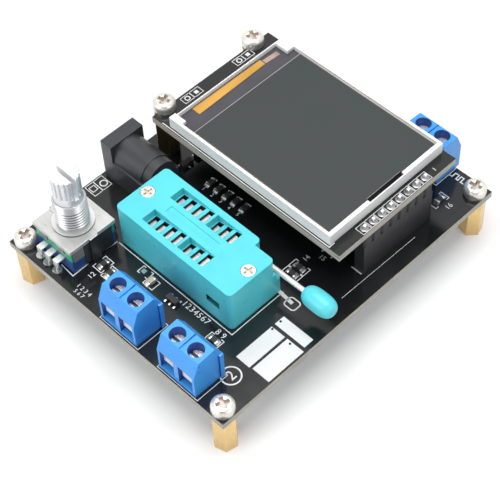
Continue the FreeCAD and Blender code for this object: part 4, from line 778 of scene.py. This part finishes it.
def capped_chips(node, material, cap=0.40 * MM, skin=0.02 * MM, fillet=0.45 * MM):
    """Chips with end caps and solder, in one piece that stands for their solids."""
    solids = merged(node)
    boxes = [extent(solid) for solid in islands(solids)]
    solids.free()
    mesh = bmesh.new()
    for low, high in boxes:
        brick(mesh, low, high)
    body_faces = len(mesh.faces)
    for low, high in boxes:
        run = 0 if high.x - low.x > high.y - low.y else 1
        for end, side in ((low[run], -1), (high[run], 1)):
            inner = end - side * cap
            outer = end + side * skin
            far = outer + side * fillet
            near_low = low - Vector((skin, skin, 0.0))
            near_high = high + Vector((skin, skin, skin))
            near_low[run], near_high[run] = sorted((inner, outer))
            brick(mesh, near_low, near_high)
            near_low[run], near_high[run] = sorted((outer, far))
            near_high.z = low.z + (high.z - low.z) * 0.75
            for corner in brick(mesh, near_low, near_high):
                if corner.co.z > low.z + 0.01 * MM and abs(corner.co[run] - far) < 0.01 * MM:
                    corner.co.z = low.z + 0.06 * MM
    mesh.faces.ensure_lookup_table()
    for face in mesh.faces[body_faces:]:
        face.material_index = 1
    rounded_edges(mesh, 0.035 * MM)
    dressed(node, mesh, [material, solder])


capped_chips("chip_resistors", chip_black)
capped_chips("chip_capacitors", ceramic_tan)
print("chip parts made")

# %% [markdown]
# The two boards keep their shape but need two finishes, mask on the faces and
# bare laminate on the sawn edges, so their copies sort faces by place and
# direction. The flat layers of the display and the solids that hardly show keep
# their own mesh and only get a finish.

# %% Boards


def board_look(node):
    """A board whose sawn sides show the laminate."""
    mesh = merged(node)
    low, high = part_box(node)
    for face in mesh.faces:
        centre = face.calc_center_median()
        gaps = (centre.x - low.x, high.x - centre.x, centre.y - low.y, high.y - centre.y)
        face.material_index = 1 if min(gaps) < 0.02 * MM and abs(face.normal.z) < 0.5 else 0
    rounded_edges(mesh, 0.05 * MM, 1)
    dressed(node, mesh, [mask, laminate])


board_look("main_board")
board_look("display_board")
# The socket's slider takes the near-black teal, painted shade deep inside the socket.
PLAIN_FINISHES = {
    "lcd_light_guide": frame_white, "lcd_rear_glass": ledge_glass, "lcd_front_glass": ledge_glass,
    "lcd_polarizer": film, "dc_jack_sleeve_contact": tin, "encoder_rotor": strip_black,
    "encoder_dome": tin, "zif_slider": teal_painted_deep_shade, "terminal_strips": tin, "microcontroller_leads": tin,
    "display_socket_contacts": gold,
}
for node, material in PLAIN_FINISHES.items():
    own = cad_nodes[node].data.materials
    own.clear()
    own.append(material)
print("plain finishes:", len(PLAIN_FINISHES))

# %% [markdown]
# Printed marks are screen-printed ink that stands about three hundredths of a
# millimetre above the mask. Boxes, lines and rings are laid down flat from board
# dimensions and then given that thickness all together. The ring is a capped
# circle with its middle cut out by an inset.

# %% Ink shapes
INK = 0.03
STROKE_STEP = 0.0006


def sheet_at(mesh, x, y, z, length, width, turn=0.0):
    """A flat rectangle of ink on its middle, turned about it."""
    middle = Matrix.Translation(on_board(x, y, z + INK))
    size = Matrix.Diagonal((length * MM, width * MM, 1.0, 1.0))
    matrix = middle @ Matrix.Rotation(turn, 4, "Z") @ size
    return bmesh.ops.create_grid(mesh, x_segments=1, y_segments=1, size=0.5, matrix=matrix)["verts"]


def hollowed(mesh, face, border):
    """Cut the middle out of a face."""
    bmesh.ops.inset_individual(mesh, faces=[face], thickness=border * MM)
    bmesh.ops.delete(mesh, geom=[face], context="FACES")


def ink_box(mesh, left, right, front, rear, z=0.0, border=None, rounding=None):
    """A filled rectangle of ink, or only its border, with square or rounded corners."""
    corners = sheet_at(mesh, (left + right) / 2, (front + rear) / 2, z, right - left, rear - front)
    if rounding:
        corners = bevelled(mesh, corners, rounding * MM, 4, "VERTICES")["verts"]
    if border:
        hollowed(mesh, corners[0].link_faces[0], border)


def ink_line(mesh, points, width, z=0.0):
    """Strokes from point to point, a little long so that corners close, each just over the last."""
    for step, ((x1, y1), (x2, y2)) in enumerate(zip(points, points[1:])):
        length = math.hypot(x2 - x1, y2 - y1) + width * 0.9
        turn = math.atan2(y2 - y1, x2 - x1)
        sheet_at(mesh, (x1 + x2) / 2, (y1 + y2) / 2, z + STROKE_STEP * step, length, width, turn)


def ink_ring(mesh, x, y, radius, width=None, z=0.0):
    """A ring of ink, or a full dot if no width is given."""
    place = Matrix.Translation(on_board(x, y, z + INK))
    made = bmesh.ops.create_circle(mesh, cap_ends=True, segments=28, radius=radius * MM, matrix=place)
    if width:
        hollowed(mesh, made["verts"][0].link_faces[0], width)


def thickened(mesh, depth=INK):
    """Give flat shapes their thickness, downwards to the board."""
    bmesh.ops.recalc_face_normals(mesh, faces=mesh.faces)
    for face in mesh.faces:
        if face.normal.z < 0:
            face.normal_flip()
    bmesh.ops.solidify(mesh, geom=mesh.faces[:], thickness=depth * MM)


def ink_number(mesh, figures, x, y, height, turn=0.0, z=0.0):
    """Plain figures, centred on a place and turned about it."""
    letters = bpy.data.curves.new("figures", "FONT")
    letters.body = figures
    letters.size = height / 0.70 * MM
    letters.extrude = INK / 2 * MM
    letters.resolution_u = 2
    letters.align_x = letters.align_y = "CENTER"
    holder = bpy.data.objects.new("figures", letters)
    flat = bpy.data.meshes.new_from_object(holder)
    place = Matrix.Translation(on_board(x, y, z + INK / 2))
    flat.transform(place @ Matrix.Rotation(math.radians(turn), 4, "Z"))
    mesh.from_mesh(flat)
    bpy.data.objects.remove(holder)
    bpy.data.curves.remove(letters)
    bpy.data.meshes.remove(flat)


print("ink stands", INK, "mm high")

# %% [markdown]
# The marks of the main board: three label boxes at the right edge, a ring, a
# lever mark, a square wave by the rear terminal, brackets round the small parts,
# the outline of the test socket and the feet of the terminals.

# %% Marks on the main board
marks = bmesh.new()
for label in ((53.9, 61.9, 23.0, 25.5), (53.9, 57.5, 12.4, 22.15), (58.1, 62.5, 12.65, 22.2)):
    ink_box(marks, *label)
ink_ring(marks, 56.3, 8.7, 2.2, 0.32)
ink_box(marks, 51.45, 54.55, 27.45, 30.15, border=0.27, rounding=0.8)
WAVE = [(53.5, 75.55), (54.3, 75.55), (54.3, 76.75), (55.25, 76.75), (55.3, 75.55), (55.85, 75.55),
        (55.8, 76.75), (56.55, 76.75), (56.6, 75.5), (57.25, 75.5)]
STROKES = [
    (0.8, [(48.2, 29.3), (52.6, 28.9)]), (0.26, WAVE), (0.10, [(59.1, 36.6), (59.4, 58.0)]),
    (0.28, [(55.3, 43.6), (57.8, 43.55)]), (0.2, [(16.7, 15.4), (49.7, 15.4), (49.65, 29.6)]),
    (0.25, [(12.52, 3.55), (16.27, 3.28), (16.16, 7.37)]), (0.25, [(15.9, 11.4), (16.2, 15.2)]),
    (0.22, [(0.4, 22.4), (3.7, 22.4)]), (0.5, [(6.8, 28.1), (8.9, 27.9)]),
]
for width, points in STROKES:
    ink_line(marks, points, width)
ink_box(marks, 0.3, 3.8, 20.1, 24.9, border=0.22)
ink_box(marks, 1.1, 2.7, 20.5, 22.0, border=0.25)
ink_ring(marks, 2.3, 23.8, 0.95, 0.3)
BRACKETS = [
    (24.8, 27.65, 13.1, 14.9), (27.7, 30.4, 11.9, 14.2), (17.3, 19.8, 7.7, 11.2),
    (20.2, 22.3, 7.3, 10.5), (46.4, 49.8, 11.0, 13.2), (45.8, 49.8, 33.2, 35.0),
    (45.8, 49.8, 35.2, 37.3), (55.4, 57.6, 66.6, 70.7),
]
for left, right, front, rear in BRACKETS:
    deep = min(right - left, rear - front) * 0.32
    if right - left > rear - front:
        for end, inner in ((left, left + deep), (right, right - deep)):
            ink_line(marks, [(inner, front), (end, front), (end, rear), (inner, rear)], 0.18)
    else:
        for end, inner in ((front, front + deep), (rear, rear - deep)):
            ink_line(marks, [(left, inner), (left, end), (right, end), (right, inner)], 0.18)
for number in TERMINALS:
    foot_low, foot_high = (corner - on_board(0, 0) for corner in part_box(f"terminal_{number}_housing"))
    foot_rear = min(foot_high.y / MM + 0.35, 77.8)
    foot_front = max(foot_low.y / MM - 0.35, 0.2)
    ink_box(marks, foot_low.x / MM - 0.35, foot_high.x / MM + 0.35, foot_front, foot_rear, border=0.2)
thickened(marks)
print("mark faces:", len(marks.faces))

# %% [markdown]
# Figures are the only lettering: pin rows, single part numbers and a number in
# the ring. They are drawn from the plain built-in letter shapes and made into
# mesh before they are laid on the board. The display's board has a few marks too.

# %% Figures and display marks
FIGURES = (
    ("2", 56.3, 8.7, 2.3, 90), ("8 9", 48.0, 14.0, 1.35), ("12", 18.9, 6.0, 1.2, 90),
    ("1 2 3 4", 20.6, 2.5, 1.0), ("5 6 7", 20.5, 1.2, 0.9), ("14", 47.2, 38.9, 1.1, 90),
    ("15", 49.4, 41.2, 1.1), ("16", 59.1, 68.9, 1.2, 90),
)
for figure in FIGURES:
    ink_number(marks, *figure)
for place in range(7):
    ink_number(marks, str(place + 1), 37.6 + 1.06 * place, 14.2, 1.35)
for place in range(5):
    ink_number(marks, str(place + 1), 18.8 + PIN_PITCH * place, 37.3, 0.9)
bmesh.ops.remove_doubles(marks, verts=marks.verts, dist=1e-7)
piece("board_marks", marks, [ink_white])

holes = bmesh.new()
for x, y in ((54.3, 24.2), (54.4, 21.8), (59.3, 21.7)):
    ink_ring(holes, x, y, 0.27, z=INK * 0.5)
thickened(holes)
piece("label_dots", holes, [mask])

deck_marks = bmesh.new()
display_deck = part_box("display_board")[1].z
DISPLAY_TOP = (display_deck - board_high.z) / MM
for front in (43.9, 59.1):
    ink_box(deck_marks, 5.7, 7.7, front, front + 5.2, DISPLAY_TOP, border=0.2)
    ink_line(deck_marks, [(5.8, front + 2.6), (7.6, front + 2.6)], 0.2, DISPLAY_TOP)
    ink_ring(deck_marks, 6.7, front + 1.35, 0.68, 0.26, DISPLAY_TOP)
    ink_box(deck_marks, 6.25, 7.15, front + 3.45, front + 4.35, DISPLAY_TOP)
for cell in range(HEADER_PINS):
    cell_front = 43.65 + PIN_PITCH * cell
    ink_box(deck_marks, 55.75, 58.05, cell_front, cell_front + 2.42, DISPLAY_TOP, border=0.18)
ink_line(deck_marks, [(8.1, 36.9), (55.25, 36.9), (55.25, 38.3)], 0.22, DISPLAY_TOP)
thickened(deck_marks)
ink_number(deck_marks, "1", 56.9, 65.7, 1.0, 90, DISPLAY_TOP)
piece("display_marks", deck_marks, [ink_white])
print("printed marks done")

# %% [markdown]
# Wherever a leg goes through a board, a cone of solder with hollow sides climbs
# it. Under the main board the legs are the islands of the solids that reach below
# it, and the display's pins stand at their pitch. On top, four tinned pads show.

# %% Solder joints
UNDERSIDE = board_low.z


def solder_cone(mesh, x, y, z, foot, tall, up=-1.0):
    """A cone of solder with hollow sides, spun about a leg and closed at its foot and its tip."""
    shape = ((0.0, 0.0), (1.0, 0.0), (1.0, 0.04), (0.72, 0.12), (0.52, 0.36), (0.40, 0.80), (0.0, 0.86))
    corners = [mesh.verts.new((x + r * foot, y, z + up * h * tall)) for r, h in shape]
    spun(mesh, corners, (x, y, z), (0, 0, 1), 14)


LEGGED = (
    "dc_jack_pin", "dc_jack_sleeve_contact", "dc_jack_switch_contact", "encoder_terminals",
    "encoder_plate", "zif_contacts", "terminal_strips", "display_socket_contacts",
)
joints = bmesh.new()
legs = []
for node in LEGGED:
    solids = merged(node)
    for solid in islands(solids):
        low_ends = [v for v in solid if v.co.z < UNDERSIDE - 0.2 * MM]
        left = [v for v in low_ends if node == "encoder_plate" and v.co.x < on_board(10.5, 0).x]
        for group in (left, [v for v in low_ends if v not in left]):
            if group:
                low, high = extent(group)
                middle = (low + high) / 2
                legs.append((middle.x, middle.y, max(high.x - low.x, high.y - low.y)))
    solids.free()
for x, y, width in legs:
    solder_cone(joints, x, y, UNDERSIDE, max(0.9 * MM, width * 0.72), 1.15 * MM)
pin_low, pin_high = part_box("display_header_pins")
pin_joints = bmesh.new()
for pin in range(HEADER_PINS):
    pin_y = pin_low.y + 0.32 * MM + PIN_PITCH * MM * pin
    solder_cone(pin_joints, (pin_low.x + pin_high.x) / 2, pin_y, display_deck, 0.90 * MM, 0.70 * MM, 1.0)
CONES = (("solder_joints", joints, solder), ("display_pin_joints", pin_joints, dark_grey_solder))
for name, cones, finish in CONES:
    closed(cones)
    piece(name, cones, [finish])

rings = bmesh.new()
for x, y in ((12.76, 2.12), (9.86, 2.17), (7.44, 2.34)):
    ink_ring(rings, x, y, 1.05)
ink_box(rings, 25.2, 26.3, 13.5, 14.5)
thickened(rings)
piece("tinned_pads", rings, [solder])
print("soldered legs:", len(legs))

# %% [markdown]
# Under the mask run copper tracks, which show only as a faint relief. They are
# low bars of the same mask, on the top where the board is open and on the
# underside from each soldered leg. Those below differ in height, as some cross.

# %% Tracks under the mask
TRACK_WIDTH = 0.34
TRACK_STEP = 0.002
tracks = bmesh.new()
TOP_TRACKS = [
    [(17.0, 14.5), (22.6, 14.5), (24.4, 12.7)], [(31.2, 12.2), (33.0, 10.6), (41.0, 10.6), (43.2, 12.8)],
    [(38.4, 12.9), (41.2, 12.9), (43.4, 15.0)], [(50.6, 14.0), (50.6, 24.0), (52.6, 26.0), (62.0, 26.0)],
    [(50.8, 32.0), (56.0, 32.0), (60.6, 36.4), (60.6, 62.0)], [(51.0, 33.4), (55.0, 33.4), (58.0, 36.4)],
    [(17.4, 12.4), (20.4, 12.4), (22.4, 14.0)], [(24.2, 4.4), (24.2, 9.6), (26.4, 11.6)],
    [(61.6, 27.2), (61.6, 64.0)], [(5.4, 26.2), (15.6, 26.2)], [(5.0, 18.4), (5.0, 25.4)],
    [(42.5, 2.0), (42.5, 9.2), (44.6, 10.6)], [(57.4, 1.4), (61.4, 5.4), (61.4, 11.6)],
    [(2.0, 30.4), (2.0, 34.0), (4.4, 36.4)], [(58.6, 62.4), (58.6, 66.0)], [(60.8, 66.0), (60.8, 71.4)],
]
for points in TOP_TRACKS:
    ink_line(tracks, points, TRACK_WIDTH, INK * -0.2)
thickened(tracks, INK * 0.8)
under = bmesh.new()
under_depth = -(board_high.z - board_low.z) / MM - INK
for count, (x, y, _) in enumerate(sorted(legs)):
    leg_x = (x - board_low.x) / MM
    leg_y = (y - board_low.y) / MM
    bend = 2.0 + 0.9 * (count % 4)
    end_y = max(34.0 + 3.1 * (count % 11), leg_y + bend)
    bend_x = leg_x + bend if leg_x < 31.5 else leg_x - bend
    route = [(leg_x, leg_y), (bend_x, leg_y + bend * 0.9), (bend_x, end_y)]
    ink_line(under, route, TRACK_WIDTH, under_depth - TRACK_STEP * (count % 9))
thickened(under)
under_data = bpy.data.meshes.new("under_tracks")
under.to_mesh(under_data)
under.free()
tracks.from_mesh(under_data)
bpy.data.meshes.remove(under_data)
piece("track_relief", tracks, [mask])
print("tracks:", len(TOP_TRACKS) + len(legs))

# %% [markdown]
# The display shows the edges of its layers: a pale line where the film stops over the ledge, a brown
# line of glue along the front and a beige margin at the back. In the notch at the right, a near-black
# block and a near-black strip on the film's edge are painted shade for the dark gap.

# %% Layers of the display
film_low, film_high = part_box("lcd_polarizer")


def thin_strip(mesh, left, right, front, rear, rise):
    """A bar that lies on the film, its rise in millimetres."""
    low = Vector((left, front, film_high.z - 0.01 * MM))
    brick(mesh, low, Vector((right, rear, film_high.z + rise * MM)))


def film_strip(name, left, right, front, rear, rise, rounding, finish):
    """A thin strip as a piece of its own."""
    mesh = bmesh.new()
    thin_strip(mesh, left, right, front, rear, rise)
    rounded_edges(mesh, rounding * MM, 1)
    piece(name, mesh, [finish])


left, right, front, rear = film_low.x, film_high.x, film_low.y, film_high.y
film_strip("film_left_edge", left + 0.02 * MM, left + 0.17 * MM, front, rear, 0.02, 0.008, film_edge)
film_strip("film_back_margin", left, right, rear - 0.45 * MM, rear, 0.015, 0.005, film_edge)
film_strip("film_front_glue", left, right, front, front + 0.16 * MM, 0.015, 0.005, film_glue)

frame_low, frame_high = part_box("lcd_frame")
front = frame_low.y + 11.75 * MM
rear = front + 9.8 * MM
# Painted shade: a near-black block low in the notch, and a near-black strip on the film's right edge.
gap = bmesh.new()
brick(gap, Vector((right + 0.02 * MM, front, frame_high.z - 0.98 * MM)),
      Vector((frame_high.x - 0.33 * MM, rear, frame_high.z - 0.30 * MM)))
thin_strip(gap, right - 0.22 * MM, right, front, rear, 0.012)
rounded_edges(gap, 0.004 * MM, 1)
piece("notch_gap_painted_shade", gap, [notch_painted_shade_black])
film_strip("notch_film_edge", right - 0.32 * MM, right - 0.24 * MM, front, rear, 0.012, 0.004, film_edge)
print("film in mm:", [round(v / MM, 2) for v in film_high - film_low])

# %% [markdown]
# The amber film narrows towards the back and ends in a thin brown tail. The black
# strip under the display is made of eight chamfered blocks, as such strips are cut
# to length.

# %% Amber film and header strip
flex = merged("lcd_flex")
flex_low, flex_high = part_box("lcd_flex")
for vert in flex.verts:
    share = (vert.co.y - flex_low.y) / (flex_high.y - flex_low.y)
    vert.co.x = flex_high.x - (flex_high.x - vert.co.x) * (1.0 - 0.25 * share) - 0.4 * MM * share
rounded_edges(flex, 0.04 * MM, 1)
dressed("lcd_flex", flex, [amber])
flex_tail = bmesh.new()
tail_ends = brick(flex_tail, Vector((flex_low.x + 0.55 * MM, flex_high.y + 0.3 * MM, flex_low.z)),
                  Vector((flex_low.x + 1.75 * MM, flex_high.y + 4.3 * MM, flex_low.z + 0.06 * MM)))
for vert in tail_ends:
    if vert.co.y > flex_high.y + 2.0 * MM:
        vert.co.x += 0.25 * MM
rounded_edges(flex_tail, 0.02 * MM)
piece("flex_tail", flex_tail, [brown_film])

strip_low, strip_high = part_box("display_header_strip")
strip = bmesh.new()
pitch = (strip_high.y - strip_low.y) / HEADER_PINS
for block in range(HEADER_PINS):
    block_low = Vector((strip_low.x, strip_low.y + block * pitch, strip_low.z))
    block_high = Vector((strip_high.x, strip_low.y + (block + 1) * pitch, strip_high.z))
    corners = brick(strip, block_low, block_high)
    upright = {e for v in corners for e in v.link_edges if abs(e.verts[0].co.z - e.verts[1].co.z) > 1e-6}
    bevelled(strip, list(upright), 0.42 * MM, 1)
dressed("display_header_strip", strip, [strip_black])
print("header pitch in mm:", round(pitch / MM, 2))

# %% [markdown]
# The encoder is held together by a steel plate that is bent down at the sides and clawed over the green
# wafer. Each bent side is a short sheet near the front, a darker grey than the plate, and a longer one
# behind it, painted near black as shade, that reaches down over the base. They are bricks with softened
# edges.

# %% Encoder cage
wafer_low, wafer_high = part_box("encoder_wafer")
cage = bmesh.new()
black_sides = bmesh.new()
SIDE_SHEETS = ((cage, 0.5, 3.1, 3.0), (black_sides, 3.2, 10.6, 5.9))
for side_x, outward in ((wafer_low.x, -1.0), (wafer_high.x, 1.0)):
    near, far = sorted((side_x + outward * 0.02 * MM, side_x + outward * 0.26 * MM))
    for sheets, front, rear, drop in SIDE_SHEETS:
        brick(sheets, Vector((near, wafer_low.y + front * MM, wafer_high.z - drop * MM)),
              Vector((far, wafer_low.y + rear * MM, wafer_high.z)))
for claw_x in (-2.6, 2.6):
    for edge_y, outward in ((wafer_low.y, -1.0), (wafer_high.y, 1.0)):
        middle = (wafer_low.x + wafer_high.x) / 2 + claw_x * MM
        near, far = sorted((edge_y + outward * 0.02 * MM, edge_y + outward * 0.28 * MM))
        brick(cage, Vector((middle - 0.9 * MM, near, wafer_high.z - 1.5 * MM)),
              Vector((middle + 0.9 * MM, far, wafer_high.z)))
CAGE = (("encoder_cage", cage, cage_steel), ("encoder_painted_shade_sides", black_sides, steel_painted_shade))
for name, sheets, finish in CAGE:
    rounded_edges(sheets, 0.06 * MM)
    piece(name, sheets, [finish])
print("encoder cage done")

# %% [markdown]
# Last, the visual model's box is kept beside the solids' box, so that a reader
# can see that the looks have not changed the size.

# %% Finish
bpy.context.view_layer.update()
